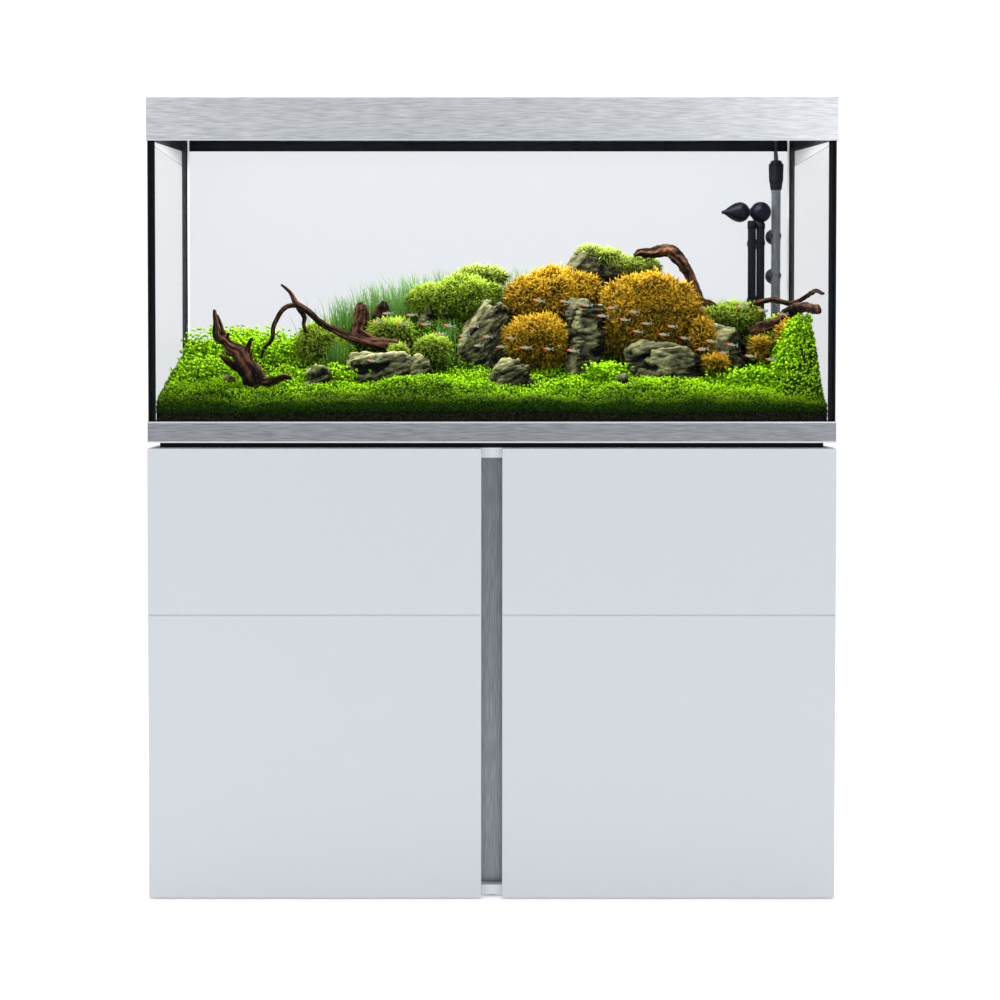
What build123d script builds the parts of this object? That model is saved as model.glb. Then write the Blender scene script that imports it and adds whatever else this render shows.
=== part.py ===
from build123d import *
import math
import os

os.makedirs("parts", exist_ok=True)

# An aquarium of 130 cm on a two-door cabinet, in millimetres. The origin is on the floor,
# under the middle of the object: +X right, +Y to the back, +Z up.

# Driving dimensions
WIDTH = 1300.0
DEPTH = 460.0
CABINET_TOP = 857.0
PLINTH_HEIGHT = 10.0
TRIM_HEIGHT = 40.0
HOOD_BOTTOM = 1435.0
HOOD_TOP = 1516.0
BOARD = 19.0
DOOR_GAP = 39.5
PANE = 10.0
SHEET = 2.0

HALF_X = WIDTH / 2
HALF_Y = DEPTH / 2

# Cabinet
FOOT_HEIGHT = 4.0
CARCASS_FRONT = -HALF_Y + BOARD + 1.5
BACK_BOARD = 7.0
CARCASS_BACK = 222.0
CARCASS_DEPTH = CARCASS_BACK - CARCASS_FRONT
CARCASS_MID_Y = (CARCASS_FRONT + CARCASS_BACK) / 2
SIDE_BOTTOM = FOOT_HEIGHT + BOARD
SIDE_TOP = CABINET_TOP - BOARD
SIDE_HEIGHT = SIDE_TOP - SIDE_BOTTOM
SIDE_X = HALF_X - BOARD / 2
CHANNEL_BACK = -186.0
CHANNEL_WEB = 90.0
CHANNEL_LIP = 22.0
SHELF_Z = 444.5
SHELF_DEPTH = 380.0
SHELF_THICKNESS = 16.0
PIN_RADIUS = 2.5
PIN_Z = SHELF_Z - PIN_RADIUS
PIN_ROWS = (PIN_Z - 32.0, PIN_Z, PIN_Z + 64.0)
PIN_YS = (-130.0, 150.0)
HINGE_ZS = (90.0, 310.0, 550.0, 770.0)
CUP_X = HALF_X - 22.5
SCREW_ZS = (60.0, 310.0, 560.0, 800.0)
HOSE_HOLE = (110.0, 70.0)
HOSE_HOLE_X = 420.0
HOSE_HOLE_Z = 740.0

# Doors
DOOR_BOTTOM = 3.0
DOOR_TOP = CABINET_TOP - 1.0
DOOR_HEIGHT = DOOR_TOP - DOOR_BOTTOM
DOOR_INNER = DOOR_GAP / 2
DOOR_WIDTH = HALF_X - DOOR_INNER
DOOR_BACK = -HALF_Y + BOARD
GROOVE_Z = 541.0
GROOVE = (3.0, 1.5)

# Tank
PLINTH_INSET = 21.0
PLINTH_TOP = CABINET_TOP + PLINTH_HEIGHT
TRAY = 5.0
GLASS_BOTTOM = PLINTH_TOP + TRAY
GLASS_TOP = 1492.0
GLASS_X = HALF_X - SHEET
GLASS_Y = HALF_Y - SHEET
GLASS_HEIGHT = GLASS_TOP - GLASS_BOTTOM
FLOOR_TOP = GLASS_BOTTOM + PANE
JOINT = 1.0
BEAD = 3.0
INNER_X = GLASS_X - PANE
INNER_Y = GLASS_Y - PANE
BRACE = (40.0, 6.0)

# Hood
BAR_TOP = 1506.0
BAR = 29.0
SKIRT_REAR = 1467.0
HINGE_BAR_Y = -38.0
HINGE_BAR = 16.0
CUTOUT_X = 590.0
CUTOUT = 90.0
FLAP = (642.0, 181.0, 6.5)
FLAP_X = 324.0
FLAP_Z = 1506.5
FLAP_PIN_Z = 1511.0
FLAP_PIN_RADIUS = 2.5
FLAP_PIN_XS = (160.0, 480.0)
LIGHT_YS = (0.0, 80.0)
LIGHT_Z = 1483.0
LIGHT_LENGTH = 1100.0
LIGHT_RADIUS = 8.0
LIGHT_CLIP_X = 300.0

# Heater
HEATER_X = 603.0
HEATER_Y = 183.0
HEATER_FOOT = 1078.0
HEATER_HEAD = 1382.0
TUBE_RADIUS = 10.0
CAP_TOP = 1420.0
GLAND_TOP = 1458.0
CORD_DIAMETER = 5.5

# Filter
PIPE_Y = 175.0
PIPE_RADIUS = 8.5
INTAKE_X = 551.5
OUTLET_X = 569.5
PIPE_TOP = 1318.0
INTAKE_TOP = 1306.0
BULKHEAD_X = (INTAKE_X + OUTLET_X) / 2
BULKHEAD_RADIUS = 22.0
BULKHEAD_FOOT = 800.0
BALL_Z = 1334.0
BALL_RADIUS = 21.8
NOZZLE_X = OUTLET_X - 44.0
NOZZLE_RADIUS = 21.4
NOZZLE_TIP = 488.0
CANISTER_X = 330.0
CANISTER_Y = 20.0
CANISTER = (210.0, 210.0, 270.0)

# ---------------------------------------------------------------- cabinet

with BuildPart() as feet:
    with Locations((0, 5, 0)):
        with GridLocations(1200, 370, 2, 2):
            Cylinder(18, FOOT_HEIGHT, align=(Align.CENTER, Align.CENTER, Align.MIN))
    with Locations((0, -180, 0), (0, 190, 0)):
        Cylinder(18, FOOT_HEIGHT, align=(Align.CENTER, Align.CENTER, Align.MIN))
feet.part.label = "levelling_feet"
export_step(feet.part, "parts/levelling_feet.step")

with BuildPart() as bottom_panel:
    with BuildSketch(Plane.XY.offset(FOOT_HEIGHT)):
        with Locations((0, CARCASS_MID_Y)):
            Rectangle(WIDTH, CARCASS_DEPTH)
    extrude(amount=BOARD)
bottom_panel.part.label = "bottom_panel"
export_step(bottom_panel.part, "parts/bottom_panel.step")

with BuildPart() as top_panel:
    with BuildSketch(Plane.XY.offset(SIDE_TOP)):
        with Locations((0, CARCASS_MID_Y)):
            Rectangle(WIDTH, CARCASS_DEPTH)
        with Locations((BULKHEAD_X, PIPE_Y)):
            Circle(BULKHEAD_RADIUS + 0.5, mode=Mode.SUBTRACT)
    extrude(amount=BOARD)
top_panel.part.label = "top_panel"
export_step(top_panel.part, "parts/top_panel.step")

with BuildPart() as left_side:
    with BuildSketch(Plane.XY.offset(SIDE_BOTTOM)):
        with Locations((-SIDE_X, CARCASS_MID_Y)):
            Rectangle(BOARD, CARCASS_DEPTH)
    extrude(amount=SIDE_HEIGHT)
    # rows of shelf holes, 10 mm deep from the inside
    for y in PIN_YS:
        for z in PIN_ROWS:
            with Locations(Plane(origin=(-HALF_X + BOARD, y, z), z_dir=(1, 0, 0))):
                Hole(PIN_RADIUS, depth=10)
left_side.part.label = "left_side_panel"
export_step(left_side.part, "parts/left_side_panel.step")

with BuildPart() as right_side:
    with BuildSketch(Plane.XY.offset(SIDE_BOTTOM)):
        with Locations((SIDE_X, CARCASS_MID_Y)):
            Rectangle(BOARD, CARCASS_DEPTH)
    extrude(amount=SIDE_HEIGHT)
right_side.part.label = "right_side_panel"
export_step(right_side.part, "parts/right_side_panel.step")

with BuildPart() as partition:
    with BuildSketch(Plane.XY.offset(SIDE_BOTTOM)):
        with Locations((0, (CHANNEL_BACK + CARCASS_BACK) / 2)):
            Rectangle(BOARD, CARCASS_BACK - CHANNEL_BACK)
    extrude(amount=SIDE_HEIGHT)
    for y in PIN_YS:
        for z in PIN_ROWS:
            with Locations(Plane(origin=(-BOARD / 2, y, z), z_dir=(-1, 0, 0))):
                Hole(PIN_RADIUS, depth=8)
partition.part.label = "centre_partition"
export_step(partition.part, "parts/centre_partition.step")

with BuildPart() as back_panel:
    with BuildSketch(Plane.XZ.offset(-CARCASS_BACK)):
        with Locations((0, (FOOT_HEIGHT + CABINET_TOP) / 2)):
            Rectangle(WIDTH, CABINET_TOP - FOOT_HEIGHT)
        with Locations((-HOSE_HOLE_X, HOSE_HOLE_Z), (HOSE_HOLE_X, HOSE_HOLE_Z)):
            RectangleRounded(*HOSE_HOLE, 15, mode=Mode.SUBTRACT)
    extrude(amount=-BACK_BOARD)
    for x in (-SIDE_X, 0, SIDE_X):
        for z in SCREW_ZS:
            with Locations(Plane(origin=(x, CARCASS_BACK + BACK_BOARD, z), z_dir=(0, 1, 0))):
                CounterBoreHole(2.1, 4.3, 2.5)
back_panel.part.label = "back_panel"
export_step(back_panel.part, "parts/back_panel.step")

with BuildPart() as screws:
    for x in (-SIDE_X, 0, SIDE_X):
        for z in SCREW_ZS:
            with Locations(Plane(origin=(x, CARCASS_BACK + BACK_BOARD - 2.5, z), z_dir=(0, 1, 0))):
                Cylinder(4, 2.2, align=(Align.CENTER, Align.CENTER, Align.MIN))
                Cylinder(2, 30, align=(Align.CENTER, Align.CENTER, Align.MAX))
screws.part.label = "back_panel_screws"
export_step(screws.part, "parts/back_panel_screws.step")

# Folded aluminium channel behind the gap between the doors: the hand grip of both of them
with BuildPart() as channel:
    flange_x = (CHANNEL_WEB - SHEET) / 2
    flange_depth = CHANNEL_BACK - CARCASS_FRONT
    lip_x = flange_x - SHEET / 2 + CHANNEL_LIP / 2
    with BuildSketch(Plane.XY.offset(SIDE_BOTTOM)):
        with Locations((0, CHANNEL_BACK - SHEET / 2)):
            Rectangle(CHANNEL_WEB, SHEET)
        with Locations((-flange_x, CHANNEL_BACK - flange_depth / 2), (flange_x, CHANNEL_BACK - flange_depth / 2)):
            Rectangle(SHEET, flange_depth)
        with Locations((-lip_x, CARCASS_FRONT + SHEET / 2), (lip_x, CARCASS_FRONT + SHEET / 2)):
            Rectangle(CHANNEL_LIP, SHEET)
    extrude(amount=SIDE_HEIGHT)
channel.part.label = "grip_channel"
export_step(channel.part, "parts/grip_channel.step")

with BuildPart() as shelf:
    with BuildSketch(Plane.XY.offset(SHELF_Z)):
        with Locations(((-HALF_X + BOARD - BOARD / 2) / 2, 10)):
            Rectangle(HALF_X - BOARD * 1.5 - 2, SHELF_DEPTH)
    extrude(amount=SHELF_THICKNESS)
shelf.part.label = "shelf"
export_step(shelf.part, "parts/shelf.step")

with BuildPart() as shelf_pins:
    for y in PIN_YS:
        with Locations(Plane(origin=(-HALF_X + BOARD - 10, y, PIN_Z), z_dir=(1, 0, 0))):
            Cylinder(PIN_RADIUS, 18, align=(Align.CENTER, Align.CENTER, Align.MIN))
        with Locations(Plane(origin=(-BOARD / 2 + 8, y, PIN_Z), z_dir=(-1, 0, 0))):
            Cylinder(PIN_RADIUS, 16, align=(Align.CENTER, Align.CENTER, Align.MIN))
shelf_pins.part.label = "shelf_pins"
export_step(shelf_pins.part, "parts/shelf_pins.step")

# Mounting plates and arms of the concealed hinges, on the side panels
with BuildPart() as hinge_arms:
    for z in HINGE_ZS:
        with Locations((HALF_X - BOARD - 1, -172, z)):
            Box(2, 50, 40)
        with Locations((HALF_X - BOARD - 8.5, -178.5, z)):
            Box(13, 58, 14)
    mirror(about=Plane.YZ)
hinge_arms.part.label = "hinge_arms"
export_step(hinge_arms.part, "parts/hinge_arms.step")

# ---------------------------------------------------------------- doors

for side, name in ((-1, "left"), (1, "right")):
    with BuildPart() as door:
        with BuildSketch(Plane.XY.offset(DOOR_BOTTOM)):
            with Locations((side * (DOOR_INNER + DOOR_WIDTH / 2), -HALF_Y + BOARD / 2)):
                Rectangle(DOOR_WIDTH, BOARD)
        extrude(amount=DOOR_HEIGHT)
        front_edges = door.edges().group_by(Axis.Y)[0]
        fillet(front_edges, radius=1.5)
        # shallow groove milled across the front
        with Locations((side * (DOOR_INNER + DOOR_WIDTH / 2), -HALF_Y, GROOVE_Z)):
            Box(DOOR_WIDTH + 2, GROOVE[1] * 2, GROOVE[0], mode=Mode.SUBTRACT)
        for z in HINGE_ZS:
            with Locations(Plane(origin=(side * CUP_X, DOOR_BACK, z), z_dir=(0, 1, 0))):
                Hole(17.5, depth=12.5)
    door.part.label = f"{name}_door"
    export_step(door.part, f"parts/{name}_door.step")

    # hinge cups let into the back, and two soft bumpers near the inner edge
    with BuildPart() as fittings:
        for z in HINGE_ZS:
            with Locations(Plane(origin=(side * CUP_X, DOOR_BACK, z), z_dir=(0, 1, 0))):
                Cylinder(17.4, 12, align=(Align.CENTER, Align.CENTER, Align.MAX))
                Cylinder(15, 10, align=(Align.CENTER, Align.CENTER, Align.MAX), mode=Mode.SUBTRACT)
            with Locations((side * CUP_X, DOOR_BACK + 0.5, z - 24), (side * CUP_X, DOOR_BACK + 0.5, z + 24)):
                Box(18, 1, 16)
        for z in (40, 820):
            with Locations(Plane(origin=(side * 53, DOOR_BACK, z), z_dir=(0, 1, 0))):
                Cylinder(5, 1.4, align=(Align.CENTER, Align.CENTER, Align.MIN))
    fittings.part.label = f"{name}_door_fittings"
    export_step(fittings.part, f"parts/{name}_door_fittings.step")

# ---------------------------------------------------------------- tank

with BuildPart() as plinth:
    with BuildSketch(Plane.XY.offset(CABINET_TOP)):
        Rectangle(WIDTH - 2 * PLINTH_INSET, DEPTH - 2 * PLINTH_INSET)
        with Locations((BULKHEAD_X, PIPE_Y)):
            Circle(BULKHEAD_RADIUS + 0.5, mode=Mode.SUBTRACT)
    extrude(amount=PLINTH_HEIGHT)
plinth.part.label = "plinth"
export_step(plinth.part, "parts/plinth.step")

with BuildPart() as tray:
    with BuildSketch(Plane.XY.offset(PLINTH_TOP)):
        Rectangle(2 * GLASS_X, 2 * GLASS_Y)
        with Locations((BULKHEAD_X, PIPE_Y)):
            Circle(BULKHEAD_RADIUS + 0.5, mode=Mode.SUBTRACT)
    extrude(amount=TRAY)
tray.part.label = "base_tray"
export_step(tray.part, "parts/base_tray.step")

# Four strips, mitred at the corners
TRIM_STRIPS = []
for turn in (1, -1):
    TRIM_STRIPS.append(
        [
            (-HALF_X, turn * HALF_Y),
            (HALF_X, turn * HALF_Y),
            (GLASS_X, turn * GLASS_Y),
            (-GLASS_X, turn * GLASS_Y),
        ]
    )
    TRIM_STRIPS.append(
        [
            (turn * HALF_X, -HALF_Y),
            (turn * HALF_X, HALF_Y),
            (turn * GLASS_X, GLASS_Y),
            (turn * GLASS_X, -GLASS_Y),
        ]
    )
TRIM_PARTS = []
for corners in TRIM_STRIPS:
    with BuildPart() as strip:
        with BuildSketch(Plane.XY.offset(PLINTH_TOP)):
            with BuildLine():
                Polyline(*corners, close=True)
            make_face()
        extrude(amount=TRIM_HEIGHT)
    TRIM_PARTS.append(strip.part)
base_trim = Compound(children=TRIM_PARTS)
base_trim.label = "base_trim"
export_step(base_trim, "parts/base_trim.step")

with BuildPart() as bottom_glass:
    with BuildSketch(Plane.XY.offset(GLASS_BOTTOM)):
        Rectangle(2 * INNER_X, 2 * INNER_Y)
        with Locations((BULKHEAD_X, PIPE_Y)):
            Circle(BULKHEAD_RADIUS + 0.5, mode=Mode.SUBTRACT)
    extrude(amount=PANE)
bottom_glass.part.label = "bottom_glass"
export_step(bottom_glass.part, "parts/bottom_glass.step")

for side, name in ((-1, "front"), (1, "back")):
    with BuildPart() as long_pane:
        with BuildSketch(Plane.XY.offset(GLASS_BOTTOM)):
            with Locations((0, side * (GLASS_Y - PANE / 2))):
                Rectangle(2 * GLASS_X, PANE)
        extrude(amount=GLASS_HEIGHT)
    long_pane.part.label = f"{name}_glass"
    export_step(long_pane.part, f"parts/{name}_glass.step")

for side, name in ((-1, "left"), (1, "right")):
    with BuildPart() as short_pane:
        with BuildSketch(Plane.XY.offset(GLASS_BOTTOM)):
            with Locations((side * (GLASS_X - PANE / 2), 0)):
                Rectangle(PANE, 2 * (INNER_Y - JOINT))
        extrude(amount=GLASS_HEIGHT)
    short_pane.part.label = f"{name}_glass"
    export_step(short_pane.part, f"parts/{name}_glass.step")

# Black silicone in the four upright joints, with a small bead inside each
with BuildPart() as seams:
    with BuildSketch(Plane.XY.offset(FLOOR_TOP)):
        with BuildLine():
            Polyline(
                (GLASS_X, -INNER_Y),
                (INNER_X - BEAD, -INNER_Y),
                (INNER_X, -INNER_Y + BEAD),
                (INNER_X, -INNER_Y + JOINT),
                (GLASS_X, -INNER_Y + JOINT),
                close=True,
            )
        make_face()
        mirror(about=Plane.XZ)
        mirror(about=Plane.YZ)
    extrude(amount=GLASS_TOP - FLOOR_TOP)
seams.part.label = "silicone_seams"
export_step(seams.part, "parts/silicone_seams.step")

with BuildPart() as braces:
    with BuildSketch(Plane.XY.offset(GLASS_TOP - BRACE[1])):
        with Locations((0, -INNER_Y + BRACE[0] / 2), (0, INNER_Y - BRACE[0] / 2)):
            Rectangle(900, BRACE[0])
    extrude(amount=BRACE[1])
braces.part.label = "glass_braces"
export_step(braces.part, "parts/glass_braces.step")

# ---------------------------------------------------------------- hood

# Black frame: bars that sit on the rim of the glass, each a solid of its own. The rear bar
# leaves a gap for cables at each end.
REAR_BAR = 2 * (CUTOUT_X - CUTOUT / 2)
BAR_INNER_Y = HALF_Y - BAR - 1
CORNER_BAR = 14.0
SIDE_BAR = 32.0
SIDE_BAR_X = HALF_X - 1 - SIDE_BAR / 2
CROSS_BAR = 12.0
HINGE_BAR_FRONT = HINGE_BAR_Y - HINGE_BAR / 2
HINGE_BAR_BACK = HINGE_BAR_Y + HINGE_BAR / 2
with BuildPart() as front_bar:
    with BuildSketch(Plane.XY.offset(GLASS_TOP)):
        with Locations((0, -HALF_Y + 1 + BAR / 2)):
            Rectangle(2 * (HALF_X - 1), BAR)
    extrude(amount=BAR_TOP - GLASS_TOP)
with BuildPart() as rear_bars:
    with BuildSketch(Plane.XY.offset(GLASS_TOP)):
        with Locations((0, HALF_Y - BAR / 2 - 0.5)):
            Rectangle(REAR_BAR, BAR + 1)
        corner_x = HALF_X - 1 - CORNER_BAR / 2
        with Locations((-corner_x, HALF_Y - BAR / 2 - 0.5), (corner_x, HALF_Y - BAR / 2 - 0.5)):
            Rectangle(CORNER_BAR, BAR + 1)
    extrude(amount=BAR_TOP - GLASS_TOP)
with BuildPart() as side_bars:
    with BuildSketch(Plane.XY.offset(GLASS_TOP)):
        with Locations((-SIDE_BAR_X, 0), (SIDE_BAR_X, 0)):
            Rectangle(SIDE_BAR, 2 * BAR_INNER_Y)
    extrude(amount=BAR_TOP - GLASS_TOP)
with BuildPart() as cross_bars:
    with BuildSketch(Plane.XY.offset(GLASS_TOP)):
        with Locations((0, HINGE_BAR_Y)):
            Rectangle(2 * (SIDE_BAR_X - SIDE_BAR / 2), HINGE_BAR)
        with Locations((0, (HINGE_BAR_FRONT - BAR_INNER_Y) / 2)):
            Rectangle(CROSS_BAR, HINGE_BAR_FRONT + BAR_INNER_Y)
        for x in (-LIGHT_CLIP_X, LIGHT_CLIP_X):
            with Locations((x, (HINGE_BAR_BACK + BAR_INNER_Y - 1) / 2)):
                Rectangle(CROSS_BAR, BAR_INNER_Y - 1 - HINGE_BAR_BACK)
    extrude(amount=BAR_TOP - GLASS_TOP)
    # ears that hold the flap pins
    for x in FLAP_PIN_XS:
        for along in (-x - 22, -x + 22, x - 22, x + 22):
            with Locations(Plane(origin=(along, HINGE_BAR_Y, BAR_TOP + 4.75), z_dir=(1, 0, 0))):
                Box(9.5, 10, 6)
            with Locations(Plane(origin=(along + 3, HINGE_BAR_Y, FLAP_PIN_Z), z_dir=(1, 0, 0))):
                Hole(FLAP_PIN_RADIUS, depth=6)
hood_frame = Compound(children=[front_bar.part, rear_bars.part, side_bars.part, cross_bars.part])
hood_frame.label = "hood_frame"
export_step(hood_frame, "parts/hood_frame.step")

# Thin black skirts outside the rim of the glass
SKIRT_FRONT = HOOD_BOTTOM + 2
with BuildPart() as skirts:
    with BuildSketch(Plane.XZ.offset(GLASS_Y)):
        with Locations((0, (SKIRT_FRONT + GLASS_TOP) / 2)):
            Rectangle(2 * GLASS_X, GLASS_TOP - SKIRT_FRONT)
    extrude(amount=1)
    with BuildSketch(Plane.XZ.offset(-GLASS_Y)):
        with Locations((0, (SKIRT_REAR + GLASS_TOP) / 2)):
            Rectangle(2 * GLASS_X, GLASS_TOP - SKIRT_REAR)
    extrude(amount=-SHEET)
    for start in (GLASS_X, -HALF_X + 1):
        with BuildSketch(Plane.YZ.offset(start)):
            with BuildLine():
                Polyline(
                    (-GLASS_Y, SKIRT_FRONT),
                    (GLASS_Y, SKIRT_REAR),
                    (GLASS_Y, GLASS_TOP),
                    (-GLASS_Y, GLASS_TOP),
                    close=True,
                )
            make_face()
        extrude(amount=1)
skirts.part.label = "hood_skirts"
export_step(skirts.part, "parts/hood_skirts.step")

# Brushed aluminium strips: one long front, two sides
with BuildPart() as front_fascia:
    with BuildSketch(Plane.XY.offset(HOOD_BOTTOM)):
        with Locations((0, -HALF_Y + 0.5)):
            Rectangle(WIDTH, 1)
    extrude(amount=HOOD_TOP - HOOD_BOTTOM)
with BuildPart() as side_fascia:
    with BuildSketch(Plane.XY.offset(HOOD_BOTTOM)):
        with Locations((-HALF_X + 0.5, 0.5), (HALF_X - 0.5, 0.5)):
            Rectangle(1, DEPTH - 1)
    extrude(amount=HOOD_TOP - HOOD_BOTTOM)
fascia = Compound(children=[front_fascia.part, side_fascia.part])
fascia.label = "hood_fascia"
export_step(fascia, "parts/hood_fascia.step")

COVER_FRONT = -29.0
COVER_BACK = 228.0
with BuildPart() as rear_cover:
    with BuildSketch(Plane.XY.offset(BAR_TOP)):
        with Locations((0, (COVER_FRONT + COVER_BACK) / 2)):
            Rectangle(2 * 646, COVER_BACK - COVER_FRONT)
        with Locations((-CUTOUT_X, COVER_BACK), (CUTOUT_X, COVER_BACK)):
            Rectangle(CUTOUT, 130, mode=Mode.SUBTRACT)
    extrude(amount=4)
rear_cover.part.label = "rear_cover"
export_step(rear_cover.part, "parts/rear_cover.step")

for side, name in ((-1, "left"), (1, "right")):
    with BuildPart() as flap:
        with BuildSketch(Plane.XY.offset(FLAP_Z)):
            with Locations((side * FLAP_X, -227 + FLAP[1] / 2)):
                RectangleRounded(FLAP[0], FLAP[1], 4)
            # finger recess in the front edge
            with Locations((side * FLAP_X, -227)):
                SlotCenterToCenter(70, 24, mode=Mode.SUBTRACT)
        extrude(amount=FLAP[2])
        for x in FLAP_PIN_XS:
            with Locations((side * x, HINGE_BAR_Y - 4, FLAP_Z + 3.25)):
                Box(36, 8, 6)
            with Locations(Plane(origin=(side * x, HINGE_BAR_Y, FLAP_PIN_Z), z_dir=(1, 0, 0))):
                Cylinder(4.3, 36)
            with Locations(Plane(origin=(side * x + 18, HINGE_BAR_Y, FLAP_PIN_Z), z_dir=(1, 0, 0))):
                Hole(FLAP_PIN_RADIUS + 0.05, depth=36)
    flap.part.label = f"{name}_flap"
    export_step(flap.part, f"parts/{name}_flap.step")

with BuildPart() as flap_pins:
    for x in FLAP_PIN_XS:
        for middle in (-x, x):
            with Locations(Plane(origin=(middle, HINGE_BAR_Y, FLAP_PIN_Z), z_dir=(1, 0, 0))):
                Cylinder(FLAP_PIN_RADIUS, 50)
flap_pins.part.label = "flap_pins"
export_step(flap_pins.part, "parts/flap_pins.step")

with BuildPart() as lights:
    for y in LIGHT_YS:
        with Locations(Plane(origin=(0, y, LIGHT_Z), z_dir=(1, 0, 0))):
            Cylinder(LIGHT_RADIUS, LIGHT_LENGTH)
lights.part.label = "light_tubes"
export_step(lights.part, "parts/light_tubes.step")

# End caps, and clips that hang the tubes from the cross bars
with BuildPart() as light_holders:
    for y in LIGHT_YS:
        for side in (-1, 1):
            with Locations((side * (LIGHT_LENGTH / 2 + 10), y, LIGHT_Z)):
                Box(20, 18, 18)
            with Locations((side * LIGHT_CLIP_X, y, LIGHT_Z)):
                Box(12, 22, 10)
            with Locations(Plane(origin=(side * LIGHT_CLIP_X + 6, y, LIGHT_Z), z_dir=(1, 0, 0))):
                Hole(LIGHT_RADIUS + 0.05, depth=12)
light_holders.part.label = "light_holders"
export_step(light_holders.part, "parts/light_holders.step")

# ---------------------------------------------------------------- heater

HEATER = Plane(origin=(HEATER_X, HEATER_Y, 0), x_dir=(1, 0, 0), z_dir=(0, -1, 0))

with BuildPart() as heater_tube:
    with BuildSketch(HEATER):
        with BuildLine():
            Line((0, HEATER_FOOT), (4, HEATER_FOOT))
            Line((4, HEATER_FOOT), (TUBE_RADIUS, HEATER_FOOT + 6))
            Line((TUBE_RADIUS, HEATER_FOOT + 6), (TUBE_RADIUS, HEATER_HEAD))
            Line((TUBE_RADIUS, HEATER_HEAD), (TUBE_RADIUS - 1.5, HEATER_HEAD))
            Line((TUBE_RADIUS - 1.5, HEATER_HEAD), (TUBE_RADIUS - 1.5, HEATER_FOOT + 8))
            Line((TUBE_RADIUS - 1.5, HEATER_FOOT + 8), (0, HEATER_FOOT + 8))
            Line((0, HEATER_FOOT + 8), (0, HEATER_FOOT))
        make_face()
    revolve(axis=Axis((HEATER_X, HEATER_Y, 0), (0, 0, 1)))
heater_tube.part.label = "heater_tube"
export_step(heater_tube.part, "parts/heater_tube.step")

with BuildPart() as heater_core:
    with BuildSketch(Plane.XY.offset(HEATER_FOOT + 12)):
        with Locations((HEATER_X, HEATER_Y)):
            Circle(6.5)
    extrude(amount=HEATER_HEAD - HEATER_FOOT - 20)
heater_core.part.label = "heater_core"
export_step(heater_core.part, "parts/heater_core.step")

with BuildPart() as heater_cap:
    with BuildSketch(HEATER):
        with BuildLine():
            Polyline(
                (0, HEATER_HEAD),
                (11.5, HEATER_HEAD),
                (13, HEATER_HEAD + 12),
                (15, HEATER_HEAD + 20),
                (15, CAP_TOP - 2),
                (13.5, CAP_TOP),
                (6, CAP_TOP),
                (6, CAP_TOP + 11),
                (0, CAP_TOP + 11),
                close=True,
            )
        make_face()
    revolve(axis=Axis((HEATER_X, HEATER_Y, 0), (0, 0, 1)))
heater_cap.part.label = "heater_cap"
export_step(heater_cap.part, "parts/heater_cap.step")

with BuildPart() as dial:
    with BuildSketch(Plane.XY.offset(CAP_TOP + 0.3)):
        with Locations((HEATER_X, HEATER_Y)):
            RegularPolygon(13.5, 16)
            Circle(6.3, mode=Mode.SUBTRACT)
    extrude(amount=10)
dial.part.label = "heater_dial"
export_step(dial.part, "parts/heater_dial.step")

with BuildPart() as gland:
    with BuildSketch(Plane.XY.offset(CAP_TOP + 11)):
        with Locations((HEATER_X, HEATER_Y)):
            Circle(5.5)
    with BuildSketch(Plane.XY.offset(GLAND_TOP)):
        with Locations((HEATER_X, HEATER_Y)):
            Circle(3.4)
    loft()
gland.part.label = "heater_gland"
export_step(gland.part, "parts/heater_gland.step")

# Rings round the heater and the filter pipes, each on a stem
CLIP_ZS = (1202.0, 1285.0)
PIPE_CLIP_ZS = (1150.0, 1270.0)
with BuildPart() as clips:
    for z in CLIP_ZS:
        with BuildSketch(Plane.XY.offset(z - 6)):
            with Locations((HEATER_X, HEATER_Y)):
                Circle(13)
            with Locations((HEATER_X, HEATER_Y + 18)):
                Rectangle(8, 14)
            with Locations((HEATER_X, HEATER_Y)):
                Circle(TUBE_RADIUS + 0.1, mode=Mode.SUBTRACT)
        extrude(amount=12)
    for z in PIPE_CLIP_ZS:
        with BuildSketch(Plane.XY.offset(z - 6)):
            with Locations((BULKHEAD_X, PIPE_Y)):
                RectangleRounded(40, 22, 10)
            with Locations((BULKHEAD_X, PIPE_Y + 21)):
                Rectangle(8, 24)
            with Locations((INTAKE_X, PIPE_Y), (OUTLET_X, PIPE_Y)):
                Circle(PIPE_RADIUS + 0.1, mode=Mode.SUBTRACT)
        extrude(amount=12)

with BuildPart() as cups:
    for x, heights in ((HEATER_X, CLIP_ZS), (BULKHEAD_X, PIPE_CLIP_ZS)):
        for z in heights:
            with BuildSketch(Plane(origin=(x, INNER_Y, z), x_dir=(1, 0, 0), z_dir=(0, -1, 0))):
                Circle(18 if x == HEATER_X else 14)
            with BuildSketch(Plane(origin=(x, HEATER_Y + 25, z), x_dir=(1, 0, 0), z_dir=(0, -1, 0))):
                Circle(5)
            loft()
suction_clips = Compound(children=[clips.part, cups.part])
suction_clips.label = "suction_clips"
export_step(suction_clips, "parts/suction_clips.step")

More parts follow.
